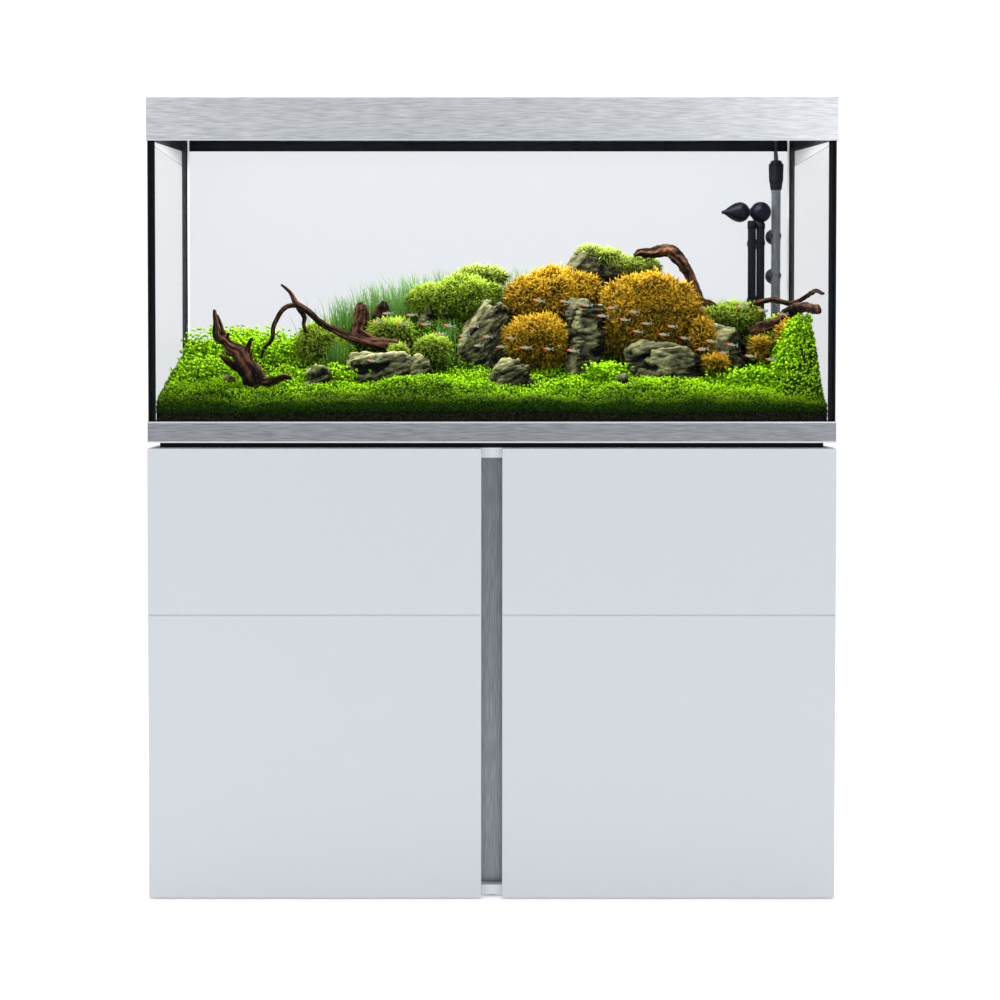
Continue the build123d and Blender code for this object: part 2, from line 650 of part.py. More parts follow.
# The cord leaves the gland upright, goes over the rear rim of the glass through the cut-out,
# and hangs down behind the tank and the cabinet to the floor.
CORD_ROUTE = [
    (603, 183, GLAND_TOP),
    (603, 183, 1474),
    (603, 187, 1490),
    (604, 198, 1502),
    (605, 214, 1507),
    (607, 230, 1507),
    (609, 245, 1500),
    (611, 254, 1484),
    (613, 257, 1462),
    (614, 256, 1425),
    (614, 252, 1370),
    (615, 251, 1305),
    (615, 254, 1235),
    (615, 258, 1165),
    (614, 258, 1090),
    (612, 254, 1015),
    (610, 252, 940),
    (609, 254, 865),
    (609, 259, 790),
    (608, 262, 715),
    (606, 261, 640),
    (603, 258, 565),
    (599, 256, 490),
    (596, 257, 415),
    (594, 260, 340),
    (591, 264, 265),
    (587, 268, 195),
    (582, 272, 130),
    (576, 277, 78),
    (568, 284, 40),
    (556, 292, 16),
    (540, 299, 5),
    (520, 303, 3.2),
    (497, 303, 3.0),
]


def corner_radii(points):
    """Each corner's arc takes 0.45 of its shorter run on either side."""
    radii = []
    for before, here, after in zip(points, points[1:], points[2:]):
        run_in = Vector(here) - Vector(before)
        run_out = Vector(after) - Vector(here)
        half_turn = math.radians(run_in.get_angle(run_out)) / 2
        shorter = min(run_in.length, run_out.length)
        radii.append(0.45 * shorter / math.tan(half_turn))
    return radii


cord_radii = corner_radii(CORD_ROUTE)
with BuildPart() as cord:
    with BuildLine() as cord_path:
        FilletPolyline(*CORD_ROUTE, radius=cord_radii)
    with BuildSketch(Plane(origin=CORD_ROUTE[0], z_dir=(0, 0, 1))):
        Circle(CORD_DIAMETER / 2)
    sweep()
cord.part.label = "heater_cord"
export_step(cord.part, "parts/heater_cord.step")
cord_length = sum(edge.length for edge in cord_path.line.edges())
cord_section = math.pi * (CORD_DIAMETER / 2) ** 2
print("cord radii", [round(r) for r in cord_radii])
print("cord length", round(cord_length), "volume ratio", round(cord.part.volume / cord_section / cord_length, 4))

# The rest of the cord, wound in a small coil on the floor, and its plug beside it
COIL_CENTRE = (490.0, 335.0)
COIL_RADIUS = 32.0
with BuildPart() as coil:
    with BuildSketch(Plane(origin=(*COIL_CENTRE, 0), x_dir=(1, 0, 0), z_dir=(0, -1, 0))):
        with Locations((COIL_RADIUS, 5.7)):
            RectangleRounded(14.5, 11.2, 3)
    revolve(axis=Axis((*COIL_CENTRE, 0), (0, 0, 1)))
coil.part.label = "heater_cord_coil"
export_step(coil.part, "parts/heater_cord_coil.step")

PLUG_X = 443.0
PLUG_Y = 303.0
with BuildPart() as plug:
    with BuildSketch(Plane(origin=(PLUG_X, PLUG_Y, 7), z_dir=(-1, 0, 0))):
        RectangleRounded(14, 30, 5)
    extrude(amount=34)
    with BuildSketch(Plane(origin=(PLUG_X, PLUG_Y, 7), z_dir=(1, 0, 0))):
        Circle(5)
    with BuildSketch(Plane(origin=(PLUG_X + 24, PLUG_Y, 4.2), z_dir=(1, 0, 0))):
        Circle(3.2)
    loft()
    for y in (PLUG_Y - 9.5, PLUG_Y + 9.5):
        with Locations(Plane(origin=(PLUG_X - 34, y, 7), z_dir=(-1, 0, 0))):
            Cylinder(2, 19, align=(Align.CENTER, Align.CENTER, Align.MIN))
plug.part.label = "heater_plug"
export_step(plug.part, "parts/heater_plug.step")

# ---------------------------------------------------------------- filter

# Bulkhead through the tank's floor, the plinth and the cabinet's top, with a nut and two barbs
with BuildPart() as bulkhead:
    with Locations((BULKHEAD_X, PIPE_Y, BULKHEAD_FOOT)):
        Cylinder(BULKHEAD_RADIUS, FLOOR_TOP - BULKHEAD_FOOT, align=(Align.CENTER, Align.CENTER, Align.MIN))
    with Locations((BULKHEAD_X, PIPE_Y, FLOOR_TOP)):
        Cylinder(28, 10, align=(Align.CENTER, Align.CENTER, Align.MIN))
    with BuildSketch(Plane.XY.offset(SIDE_TOP - 14)):
        with Locations((BULKHEAD_X, PIPE_Y)):
            RegularPolygon(32, 6)
    extrude(amount=14)
    for x in (INTAKE_X, OUTLET_X):
        with Locations((x, PIPE_Y, BULKHEAD_FOOT - 30)):
            Cylinder(7.5, 30, align=(Align.CENTER, Align.CENTER, Align.MIN))
bulkhead.part.label = "pipe_bulkhead"
export_step(bulkhead.part, "parts/pipe_bulkhead.step")

with BuildPart() as intake:
    with BuildSketch(Plane.XY.offset(FLOOR_TOP + 10)):
        with Locations((INTAKE_X, PIPE_Y)):
            Circle(PIPE_RADIUS)
            Circle(PIPE_RADIUS - 1.5, mode=Mode.SUBTRACT)
    extrude(amount=INTAKE_TOP - FLOOR_TOP - 10)
    # slots that let the water in, behind
    with Locations((INTAKE_X, PIPE_Y + PIPE_RADIUS, 1210)):
        for row in range(8):
            with Locations((0, 0, row * 10)):
                Box(8, 10, 3, mode=Mode.SUBTRACT)
    with Locations((INTAKE_X, PIPE_Y, INTAKE_TOP)):
        Cylinder(PIPE_RADIUS, 3, align=(Align.CENTER, Align.CENTER, Align.MIN))
intake.part.label = "intake_pipe"
export_step(intake.part, "parts/intake_pipe.step")

with BuildPart() as outlet:
    with BuildSketch(Plane.XY.offset(FLOOR_TOP + 10)):
        with Locations((OUTLET_X, PIPE_Y)):
            Circle(PIPE_RADIUS)
            Circle(PIPE_RADIUS - 1.5, mode=Mode.SUBTRACT)
    extrude(amount=PIPE_TOP - 10 - FLOOR_TOP - 10)
    with Locations((OUTLET_X, PIPE_Y, BALL_Z)):
        Sphere(BALL_RADIUS + 0.35, mode=Mode.SUBTRACT)
outlet.part.label = "outlet_pipe"
export_step(outlet.part, "parts/outlet_pipe.step")

with BuildPart() as link:
    with Locations((OUTLET_X, PIPE_Y, BALL_Z)):
        Sphere(BALL_RADIUS)
    with Locations(Plane(origin=(OUTLET_X, PIPE_Y, BALL_Z), z_dir=(-1, 0, 0))):
        Cylinder(9, 22.0, align=(Align.CENTER, Align.CENTER, Align.MIN))
    with Locations((NOZZLE_X, PIPE_Y, BALL_Z)):
        Sphere(NOZZLE_RADIUS + 0.4, mode=Mode.SUBTRACT)
link.part.label = "outlet_link"
export_step(link.part, "parts/outlet_link.step")

with BuildPart() as nozzle:
    with Locations((NOZZLE_X, PIPE_Y, BALL_Z)):
        Sphere(NOZZLE_RADIUS)
    with BuildSketch(Plane(origin=(NOZZLE_X - 8, PIPE_Y, BALL_Z), z_dir=(-1, 0, 0))):
        Circle(15)
    with BuildSketch(Plane(origin=(NOZZLE_TIP, PIPE_Y, BALL_Z), z_dir=(-1, 0, 0))):
        Circle(6)
    loft()
    with Locations(Plane(origin=(NOZZLE_TIP, PIPE_Y, BALL_Z), z_dir=(-1, 0, 0))):
        Hole(4.2, depth=16)
nozzle.part.label = "outlet_nozzle"
export_step(nozzle.part, "parts/outlet_nozzle.step")

with BuildPart() as canister:
    with BuildSketch(Plane.XY.offset(SIDE_BOTTOM)):
        with Locations((CANISTER_X, CANISTER_Y)):
            RectangleRounded(CANISTER[0], CANISTER[1], 40)
    extrude(amount=CANISTER[2])
    with BuildSketch(Plane.XY.offset(SIDE_BOTTOM + 5)):
        with Locations((CANISTER_X, CANISTER_Y)):
            RectangleRounded(CANISTER[0] - 8, CANISTER[1] - 8, 36)
    extrude(amount=CANISTER[2], mode=Mode.SUBTRACT)
canister.part.label = "filter_canister"
export_step(canister.part, "parts/filter_canister.step")

BASKET = 74.0
with BuildPart() as baskets:
    for layer in range(3):
        with BuildSketch(Plane.XY.offset(SIDE_BOTTOM + 14 + layer * (BASKET + 4))):
            with Locations((CANISTER_X, CANISTER_Y)):
                RectangleRounded(CANISTER[0] - 16, CANISTER[1] - 16, 32)
        extrude(amount=BASKET)
baskets.part.label = "filter_baskets"
export_step(baskets.part, "parts/filter_baskets.step")

HEAD_BOTTOM = SIDE_BOTTOM + CANISTER[2]
with BuildPart() as head:
    with BuildSketch(Plane.XY.offset(HEAD_BOTTOM)):
        with Locations((CANISTER_X, CANISTER_Y)):
            RectangleRounded(CANISTER[0], CANISTER[1], 40)
    extrude(amount=50)
    top_edges = head.edges().group_by(Axis.Z)[-1]
    fillet(top_edges, radius=12)
    for x in (CANISTER_X - 26, CANISTER_X + 26):
        with Locations((x, CANISTER_Y + 40, HEAD_BOTTOM + 45)):
            Cylinder(7.5, 50, align=(Align.CENTER, Align.CENTER, Align.MIN))
head.part.label = "filter_head"
export_step(head.part, "parts/filter_head.step")

# Carrying handle: a bail that pivots on the head's two sides and locks it
HANDLE_REACH = CANISTER[0] / 2 + 5
with BuildPart() as handle:
    for side in (-1, 1):
        with Locations((CANISTER_X + side * HANDLE_REACH, CANISTER_Y - 54, HEAD_BOTTOM + 25)):
            Box(8, 124, 14)
    with Locations((CANISTER_X, CANISTER_Y - 121, HEAD_BOTTOM + 25)):
        Box(2 * HANDLE_REACH + 8, 14, 14)
handle.part.label = "filter_handle"
export_step(handle.part, "parts/filter_handle.step")

# ---------------------------------------------------------------- planted bed

BED_X = INNER_X - 3.5
BED_Y = INNER_Y - 3.5
SOIL_FRONT = 922.0
SOIL_MID = 983.0
SOIL_BACK = 1046.0
CARPET = 20.0
WELL_RADIUS = 29.0


def lump_outlines(x, y, foot, width, depth, height, sides, phase, lean):
    """An irregular block: a many-sided foot, and a smaller outline shifted over it at the top."""
    outline = []
    for i in range(sides):
        angle = math.radians(phase + 360 * i / sides)
        reach = 1 + 0.16 * math.sin(3 * angle + phase)
        outline.append((reach * math.cos(angle) * width / 2, reach * math.sin(angle) * depth / 2))
    lower = [(x + px, y + py) for px, py in outline]
    upper = [(x + lean + 0.62 * px, y + 0.62 * py) for px, py in outline]
    return (foot, lower), (foot + height, upper)


# The soil slopes up to the back, with a mound under the stones and a bank at the right-hand
# end; the carpet of plants lies over the slope. Both leave a well round the bulkhead.
# x, y, foot, width, depth, height, sides, phase, lean
MOUNDS = [
    (120, 118, 960, 760, 150, 150, 8, 0, 30),
    (578, 20, 950, 110, 240, 120, 6, 20, 8),
]
with BuildPart() as soil:
    with BuildSketch(Plane.YZ.offset(-BED_X)):
        with BuildLine():
            Polyline(
                (-BED_Y, FLOOR_TOP),
                (BED_Y, FLOOR_TOP),
                (BED_Y, SOIL_BACK),
                (0, SOIL_MID),
                (-BED_Y, SOIL_FRONT),
                close=True,
            )
        make_face()
    extrude(amount=2 * BED_X)
    for mound in MOUNDS:
        for level, corners in lump_outlines(*mound):
            with BuildSketch(Plane.XY.offset(level)):
                with BuildLine():
                    Polyline(*corners, close=True)
                make_face()
        loft(ruled=True)
    with Locations((BULKHEAD_X, PIPE_Y, FLOOR_TOP)):
        Cylinder(WELL_RADIUS, 400, align=(Align.CENTER, Align.CENTER, Align.MIN), mode=Mode.SUBTRACT)
soil.part.label = "soil_bed"
export_step(soil.part, "parts/soil_bed.step")

with BuildPart() as carpet:
    with BuildSketch(Plane.YZ.offset(-BED_X)):
        with BuildLine():
            Polyline(
                (-BED_Y, SOIL_FRONT),
                (0, SOIL_MID),
                (BED_Y, SOIL_BACK),
                (BED_Y, SOIL_BACK + CARPET),
                (0, SOIL_MID + CARPET),
                (-BED_Y, SOIL_FRONT + CARPET),
                close=True,
            )
        make_face()
    extrude(amount=2 * BED_X)
    with Locations((BULKHEAD_X, PIPE_Y, FLOOR_TOP)):
        Cylinder(WELL_RADIUS, 400, align=(Align.CENTER, Align.CENTER, Align.MIN), mode=Mode.SUBTRACT)
carpet.part.label = "carpet_plants"
export_step(carpet.part, "parts/carpet_plants.step")


# x, y, foot, width, depth, height, sides, phase, lean
ROCKS = [
    (-12, 60, 985, 160, 110, 162, 7, 20, 8),
    (-124, 110, 1010, 72, 70, 152, 6, 50, 4),
    (-236, -20, 970, 138, 84, 68, 7, 10, -6),
    (-334, -85, 955, 76, 56, 60, 6, 0, 4),
    (-140, -50, 962, 74, 60, 74, 6, 35, 3),
    (44, -66, 960, 116, 76, 66, 6, 15, -5),
    (189, 20, 985, 96, 84, 166, 6, 65, 8),
    (208, 118, 1008, 128, 84, 246, 6, 30, -8),
    (352, -48, 966, 158, 84, 88, 7, 5, 6),
    (474, 8, 985, 96, 74, 114, 6, 40, -5),
    (258, -120, 948, 52, 44, 50, 6, 0, 0),
    (-514, -100, 950, 46, 40, 46, 6, 25, 0),
]
with BuildPart() as rocks:
    for rock in ROCKS:
        for level, corners in lump_outlines(*rock):
            with BuildSketch(Plane.XY.offset(level)):
                with BuildLine():
                    Polyline(*corners, close=True)
                make_face()
        loft(ruled=True)
rocks.part.label = "rocks"
export_step(rocks.part, "parts/rocks.step")

# x, y, foot, width, depth, height, sides, phase, lean
MOSS = [
    (-362, 66, 1000, 116, 70, 98, 6, 10, 0),
    (-205, 64, 1010, 90, 60, 88, 6, 40, 0),
    (-52, 128, 1020, 130, 60, 168, 6, 20, 0),
    (292, 148, 1020, 92, 60, 226, 6, 0, 0),
    (546, 78, 1000, 50, 60, 130, 6, 30, 0),
]
AMBER_MOSS = [
    (100, 112, 1010, 80, 90, 196, 7, 10, 20),
    (104, 30, 985, 80, 60, 124, 6, 50, 0),
    (330, 52, 985, 150, 84, 200, 7, 15, 6),
    (584, -20, 985, 84, 90, 106, 6, 60, 0),
    (462, -72, 965, 58, 50, 84, 6, 20, 0),
]
with BuildPart() as moss:
    for mound in MOSS + AMBER_MOSS:
        for level, corners in lump_outlines(*mound):
            with BuildSketch(Plane.XY.offset(level)):
                with BuildLine():
                    Polyline(*corners, close=True)
                make_face()
        loft(ruled=True)
moss.part.label = "moss"
export_step(moss.part, "parts/moss.step")

# Branches: each a chain of points with a radius at every point, made as six-sided rods
BRANCHES = [
    [(-474, 0, 960, 24), (-492, 2, 1015, 15), (-548, 8, 1118, 5)],
    [(-460, -4, 1000, 9), (-466, -6, 1040, 7), (-480, -6, 1070, 4)],
    [(-444, -8, 988, 11), (-405, -20, 984, 6)],
    [(-212, 6, 1022, 13), (-253, 8, 1066, 12), (-324, 14, 1095, 10), (-391, 20, 1136, 7), (-421, 24, 1172, 4)],
    [(-412, 14, 1130, 5), (-427, 16, 1118, 4.5), (-438, 16, 1080, 4), (-462, 14, 1030, 3)],
    [
        (302, 90, 1232, 8),
        (359, 86, 1246, 7.7),
        (402, 80, 1218, 7.4),
        (427, 70, 1150, 7),
        (476, 60, 1124, 6.6),
        (520, 40, 1126, 6.3),
        (566, 0, 1148, 6),
        (600, -60, 1138, 5),
        (620, -110, 1150, 4),
    ],
    [(520, 40, 1060, 10), (566, 10, 1088, 9), (606, -40, 1116, 7), (624, -90, 1122, 5)],
    [(-261, 66, 1040, 12), (-262, 66, 1140, 10)],
    [(-218, 70, 1040, 13), (-217, 70, 1142, 11)],
]
RODS = []
for branch in BRANCHES:
    places = [Vector(x, y, z) for x, y, z, r in branch]
    with BuildPart() as rod:
        for i, (x, y, z, r) in enumerate(branch):
            heading = places[min(i + 1, len(places) - 1)] - places[max(i - 1, 0)]
            across = Vector(0, 1, 0).cross(heading)
            with BuildSketch(Plane(origin=(x, y, z), x_dir=across, z_dir=heading)):
                RegularPolygon(r, 6)
        loft(ruled=True)
    RODS.append(rod.part)
driftwood = Compound(children=RODS)
driftwood.label = "driftwood"
export_step(driftwood, "parts/driftwood.step")

# Tufts of tall grass behind the stones
GRASS = [
    (-300, 168, 1020, 80, 40, 130, 6, 0, -6),
    (-215, 172, 1020, 84, 40, 170, 6, 30, 4),
    (-128, 176, 1020, 66, 30, 170, 6, 0, 0),
    (60, 186, 1025, 60, 30, 200, 6, 15, 4),
    (462, 170, 1020, 50, 30, 126, 6, 0, 4),
]
with BuildPart() as grass:
    for tuft in GRASS:
        for level, corners in lump_outlines(*tuft):
            with BuildSketch(Plane.XY.offset(level)):
                with BuildLine():
                    Polyline(*corners, close=True)
                make_face()
        loft(ruled=True)
grass.part.label = "tall_grass"
export_step(grass.part, "parts/tall_grass.step")

# A shoal of small fish in the open water before the stones: each is 26 mm long, with its
# head to the left.
FISH_LENGTH = 26.0
FISH_OUTLINE = ((-13, 0), (-7, -3.2), (5, -2.4), (9, -0.8), (13, -3.4), (13, 3.4), (9, 0.8), (5, 2.6), (-7, 3.2))
FISH_COUNT = 38
with BuildPart() as fish:
    for i in range(FISH_COUNT):
        # an even sequence that never repeats scatters the shoal, thicker in the middle
        across = (i * 0.618034) % 1.0
        up = (i * 0.754878) % 1.0
        inward = (i * 0.569840) % 1.0
        fish_x = -230 + 810 * across
        fish_z = 1040 + 110 * up - 40 * abs(across - 0.45)
        fish_y = -198 + 84 * inward
        with BuildSketch(Plane(origin=(fish_x, fish_y, fish_z), x_dir=(1, 0, 0), z_dir=(0, -1, 0))):
            with BuildLine():
                Polyline(*FISH_OUTLINE, close=True)
            make_face()
        extrude(amount=2, both=True)
fish.part.label = "fish"
export_step(fish.part, "parts/fish.step")
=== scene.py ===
import math
import random

import bmesh
import bpy
import numpy as np
from mathutils import Matrix, Vector, noise


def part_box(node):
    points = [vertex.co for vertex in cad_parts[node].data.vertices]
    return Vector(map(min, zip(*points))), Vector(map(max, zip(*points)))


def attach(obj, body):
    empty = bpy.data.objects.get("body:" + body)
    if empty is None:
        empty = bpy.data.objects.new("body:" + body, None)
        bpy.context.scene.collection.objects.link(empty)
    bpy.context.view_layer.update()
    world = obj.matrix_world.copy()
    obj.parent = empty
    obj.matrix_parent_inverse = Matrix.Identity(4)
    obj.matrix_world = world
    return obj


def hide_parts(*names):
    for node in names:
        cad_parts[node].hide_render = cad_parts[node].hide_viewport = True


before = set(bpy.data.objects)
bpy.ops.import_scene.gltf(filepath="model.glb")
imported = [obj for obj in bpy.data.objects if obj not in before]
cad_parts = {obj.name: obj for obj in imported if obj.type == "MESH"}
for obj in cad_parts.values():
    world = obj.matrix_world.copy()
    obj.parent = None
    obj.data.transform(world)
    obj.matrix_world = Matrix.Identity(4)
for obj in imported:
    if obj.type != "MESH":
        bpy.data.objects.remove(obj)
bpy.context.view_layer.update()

# ------------------------------------------------------------------ camera
# The aquarium is seen square from the front, a little left of its middle,
# with a long lens three and a half metres away.
camera_data = bpy.data.cameras.new("camera")
camera_data.sensor_width = 36.0
camera_data.lens = 67.65
camera_data.shift_x = 0.041
camera_data.shift_y = -0.0838
camera = bpy.data.objects.new("camera", camera_data)
bpy.context.scene.collection.objects.link(camera)
camera.location = (-0.062, -3.77, 1.010)
camera.rotation_euler = (math.radians(90 - 1.5), 0, 0)
bpy.context.scene.camera = camera

# ------------------------------------------------------------------ heater cord
# A black two-core lead leaves the heater's gland upright, goes over the rear rim of the
# glass through the hood's cut-out, hangs behind the tank and is wound up on the floor.
FLOOR = 0.0
CORD = 0.0055
COIL_MIDDLE = Vector((0.490, 0.333, 0.0))
COIL_RADIUS = 0.0312
COIL_TURNS = 2
POINTS_PER_TURN = 14


def paint(name, colour, rough=0.5, metal=0.0, shine=0.5):
    """A new material with one principled shader; returns it with its nodes."""
    material = bpy.data.materials.new(name)
    material.use_nodes = True
    nodes = material.node_tree.nodes
    shader = nodes["Principled BSDF"]
    shader.inputs["Base Color"].default_value = (*colour, 1.0)
    shader.inputs["Roughness"].default_value = rough
    shader.inputs["Metallic"].default_value = metal
    shader.inputs["Specular IOR Level"].default_value = shine
    material.diffuse_color = (*colour, 1.0)
    return material, material.node_tree, shader


def coat(name, colour, rough, scale, metal=0.0, shine=0.5, stretch=(1, 1, 1), detail=4.0, spread=None,
         bump=0.0, depth=0.0005, colours=None, low=0.35, high=0.65, sockets=None):
    """A finish under fine noise, which may move its roughness, its colour and its surface."""
    material, tree, shader = paint(name, colour, rough, metal, shine)
    nodes, links = tree.nodes, tree.links
    place = nodes.new("ShaderNodeTexCoord")
    mapping = nodes.new("ShaderNodeMapping")
    mapping.inputs["Scale"].default_value = stretch
    grain = nodes.new("ShaderNodeTexNoise")
    grain.inputs["Scale"].default_value = scale
    grain.inputs["Detail"].default_value = detail
    links.new(place.outputs["Object"], mapping.inputs["Vector"])
    links.new(mapping.outputs["Vector"], grain.inputs["Vector"])
    if spread:
        sheen = nodes.new("ShaderNodeMapRange")
        sheen.inputs["To Min"].default_value = spread[0]
        sheen.inputs["To Max"].default_value = spread[1]
        links.new(grain.outputs["Fac"], sheen.inputs["Value"])
        links.new(sheen.outputs["Result"], shader.inputs["Roughness"])
    if bump:
        relief = nodes.new("ShaderNodeBump")
        relief.inputs["Strength"].default_value = bump
        relief.inputs["Distance"].default_value = depth
        links.new(grain.outputs["Fac"], relief.inputs["Height"])
        links.new(relief.outputs["Normal"], shader.inputs["Normal"])
    if colours:
        ramp = nodes.new("ShaderNodeValToRGB")
        ramp.color_ramp.elements[0].position = low
        ramp.color_ramp.elements[0].color = (*colours[0], 1)
        ramp.color_ramp.elements[1].position = high
        ramp.color_ramp.elements[1].color = (*colours[1], 1)
        links.new(grain.outputs["Fac"], ramp.inputs["Fac"])
        links.new(ramp.outputs["Color"], shader.inputs["Base Color"])
    for socket, value in (sockets or {}).items():
        shader.inputs[socket].default_value = value
    return material


def made(name, mesh, *finishes, smooth=False):
    """Puts a finished mesh in the scene, with its materials."""
    piece = bpy.data.objects.new(name, mesh)
    bpy.context.scene.collection.objects.link(piece)
    for finish in finishes:
        mesh.materials.append(finish)
    if smooth:
        mesh.polygons.foreach_set("use_smooth", [True] * len(mesh.polygons))
    return piece


cord_sheath = coat("cord_sheath", (0.016, 0.016, 0.018), 0.42, 900, bump=0.12, depth=0.0003,
                   spread=(0.36, 0.5))

cord_route = [
    (0.603, 0.183, 1.458), (0.603, 0.183, 1.472), (0.603, 0.187, 1.490), (0.604, 0.201, 1.504),
    (0.606, 0.220, 1.509), (0.608, 0.239, 1.504), (0.611, 0.253, 1.490), (0.613, 0.257, 1.472),
    (0.613, 0.257, 1.455), (0.614, 0.256, 1.425), (0.614, 0.252, 1.370), (0.615, 0.251, 1.305),
    (0.615, 0.254, 1.235), (0.615, 0.258, 1.165), (0.614, 0.258, 1.090), (0.612, 0.254, 1.015),
    (0.610, 0.252, 0.940), (0.609, 0.254, 0.865), (0.609, 0.259, 0.790), (0.608, 0.262, 0.715),
    (0.606, 0.261, 0.640), (0.603, 0.258, 0.565), (0.599, 0.256, 0.490), (0.596, 0.257, 0.415),
    (0.594, 0.260, 0.340), (0.591, 0.264, 0.265), (0.587, 0.268, 0.195), (0.582, 0.272, 0.130),
    (0.576, 0.277, 0.078), (0.568, 0.284, 0.040), (0.556, 0.292, 0.016), (0.540, 0.299, 0.005),
    (0.520, 0.303, 0.0032), (0.497, 0.303, 0.0030),
]
coil_route = []
coil_steps = COIL_TURNS * POINTS_PER_TURN
for step in range(1, coil_steps):
    turn = -math.pi / 2 - 2 * math.pi * step / POINTS_PER_TURN
    lap = step / POINTS_PER_TURN
    crossing = min(1.0, max(0.0, (lap - 0.45) / 0.55))
    crossing *= crossing * (3 - 2 * crossing)
    reach = COIL_RADIUS - 0.0028 + 0.0060 * crossing
    height = 0.0032 + 0.0054 * crossing
    coil_route.append((COIL_MIDDLE.x + reach * math.cos(turn), COIL_MIDDLE.y + reach * math.sin(turn),
                       height))
coil_route += [(0.488, 0.2976, 0.0082), (0.477, 0.2995, 0.0070), (0.467, 0.303, 0.0046)]


def wire(name, points, thick, finish, kind="NURBS"):
    """A round wire along its points."""
    curve = bpy.data.curves.new(name, "CURVE")
    curve.dimensions = "3D"
    curve.bevel_depth = thick / 2
    curve.use_fill_caps = True
    curve.materials.append(finish)
    line = curve.splines.new(kind)
    line.points.add(len(points) - 1)
    for point, place in zip(line.points, points):
        point.co = (*place, 1.0)
    line.order_u = 3
    piece = bpy.data.objects.new(name, curve)
    bpy.context.scene.collection.objects.link(piece)
    return piece, curve, line


heater_lead, lead_curve, lead_line = wire("heater_lead", cord_route + coil_route, CORD, cord_sheath)
lead_curve.bevel_resolution = 3
lead_line.use_endpoint_u = True
lead_line.resolution_u = 6

# A twist of wire round the coil keeps the turns together.
TIE_MIDDLE = (0.490, 0.3648, 0.0062)
TIE_RADIUS, TIE_RISE, TIE_POINTS = 0.0080, 0.0052, 12
tie_ring = []
for step in range(TIE_POINTS):
    turn = 2 * math.pi * step / TIE_POINTS
    tie_ring.append((TIE_MIDDLE[0], TIE_MIDDLE[1] + TIE_RADIUS * math.cos(turn),
                     TIE_MIDDLE[2] + TIE_RISE * math.sin(turn)))
tie_finish = coat("tie_wire", (0.05, 0.05, 0.055), 0.5, 600, spread=(0.4, 0.6))
lead_tie, _, tie_line = wire("lead_tie", tie_ring, 0.0018, tie_finish)
tie_line.use_cyclic_u = True

plug_finish = coat("plug_moulding", (0.02, 0.02, 0.022), 0.48, 700, bump=0.2, depth=0.0003,
                   spread=(0.42, 0.58))


def recoat(node, finish):
    """Gives a node of the model its finish in place of the plain one."""
    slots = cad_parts[node].material_slots
    for material_slot in slots:
        material_slot.link = "OBJECT"
        material_slot.material = finish


recoat("heater_plug", plug_finish)
recoat("heater_gland", cord_sheath)
for piece in (heater_lead, lead_tie):
    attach(piece, "aquarium")
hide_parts("heater_cord", "heater_cord_coil")

# ------------------------------------------------------------------ cabinet boards
# The carcass is faced chipboard, glued and dowelled; the doors are 19 mm board in a
# bluish white lacquer with softly broken edges and one milled groove.
lacquer = coat("door_lacquer", (0.485, 0.503, 0.525), 0.3, 260, detail=2.0, bump=0.05, depth=0.0004,
               spread=(0.26, 0.34), sockets={"Coat Weight": 0.35, "Coat Roughness": 0.12})
carcass = coat("carcass_board", (0.68, 0.70, 0.73), 0.45, 700, detail=3.0, bump=0.16, depth=0.0003,
               spread=(0.38, 0.52))
for board in ("bottom_panel", "top_panel", "left_side_panel", "right_side_panel", "centre_partition",
              "back_panel", "shelf"):
    recoat(board, carcass)
for board in ("left_door", "right_door"):
    recoat(board, lacquer)

# ------------------------------------------------------------------ grip channel
# A folded aluminium channel behind the gap between the doors, brushed along its length.
brushed_up = coat("brushed_upright", (0.27, 0.28, 0.305), 0.42, 30, metal=0.85, stretch=(30, 30, 0.8),
                  detail=7, bump=0.22, depth=0.0003, spread=(0.34, 0.5),
                  colours=((0.19, 0.20, 0.215), (0.33, 0.34, 0.365)), sockets={"Anisotropic": 0.4})
recoat("grip_channel", brushed_up)

# ------------------------------------------------------------------ cabinet fittings
# Plated steel: hinge arms and cups, shelf pins, back screws and flap pins.
steel = coat("plated_steel", (0.62, 0.62, 0.63), 0.28, 420, metal=1.0, bump=0.06, spread=(0.22, 0.38))
for fitting in ("hinge_arms", "left_door_fittings", "right_door_fittings", "shelf_pins",
                "back_panel_screws", "flap_pins"):
    recoat(fitting, steel)

# ------------------------------------------------------------------ plinth and feet
# A black board sets the tank off the cabinet, under a moulded tray; glides carry the cabinet.
moulded = coat("black_moulding", (0.005, 0.006, 0.009), 0.5, 520, shine=0.08, bump=0.25, depth=0.0003,
               spread=(0.42, 0.6))
for black in ("plinth", "base_tray", "levelling_feet", "hood_frame", "hood_skirts", "light_holders"):
    recoat(black, moulded)

# ------------------------------------------------------------------ base trim
# Pressed aluminium round the foot of the glass: a flat brushed band between two thin raised
# lips, mitred at the corners.
brushed_along = coat("brushed_along", (0.5, 0.51, 0.53), 0.36, 30, metal=0.9, stretch=(0.9, 0.9, 24),
                     detail=8, bump=0.25, depth=0.0003, spread=(0.30, 0.44),
                     colours=((0.20, 0.208, 0.222), (0.345, 0.355, 0.377)), sockets={"Anisotropic": 0.5})
lip_metal = coat("bright_lip", (0.74, 0.75, 0.78), 0.24, 300, metal=0.9, spread=(0.2, 0.3))

GLASS_X, GLASS_Y = 0.648, 0.228


def settled(name, form, outward=True):
    """Keeps a finished form as a mesh, its faces turned outward."""
    if outward:
        bmesh.ops.recalc_face_normals(form, faces=form.faces)
    mesh = bpy.data.meshes.new(name)
    form.to_mesh(mesh)
    form.free()
    return mesh


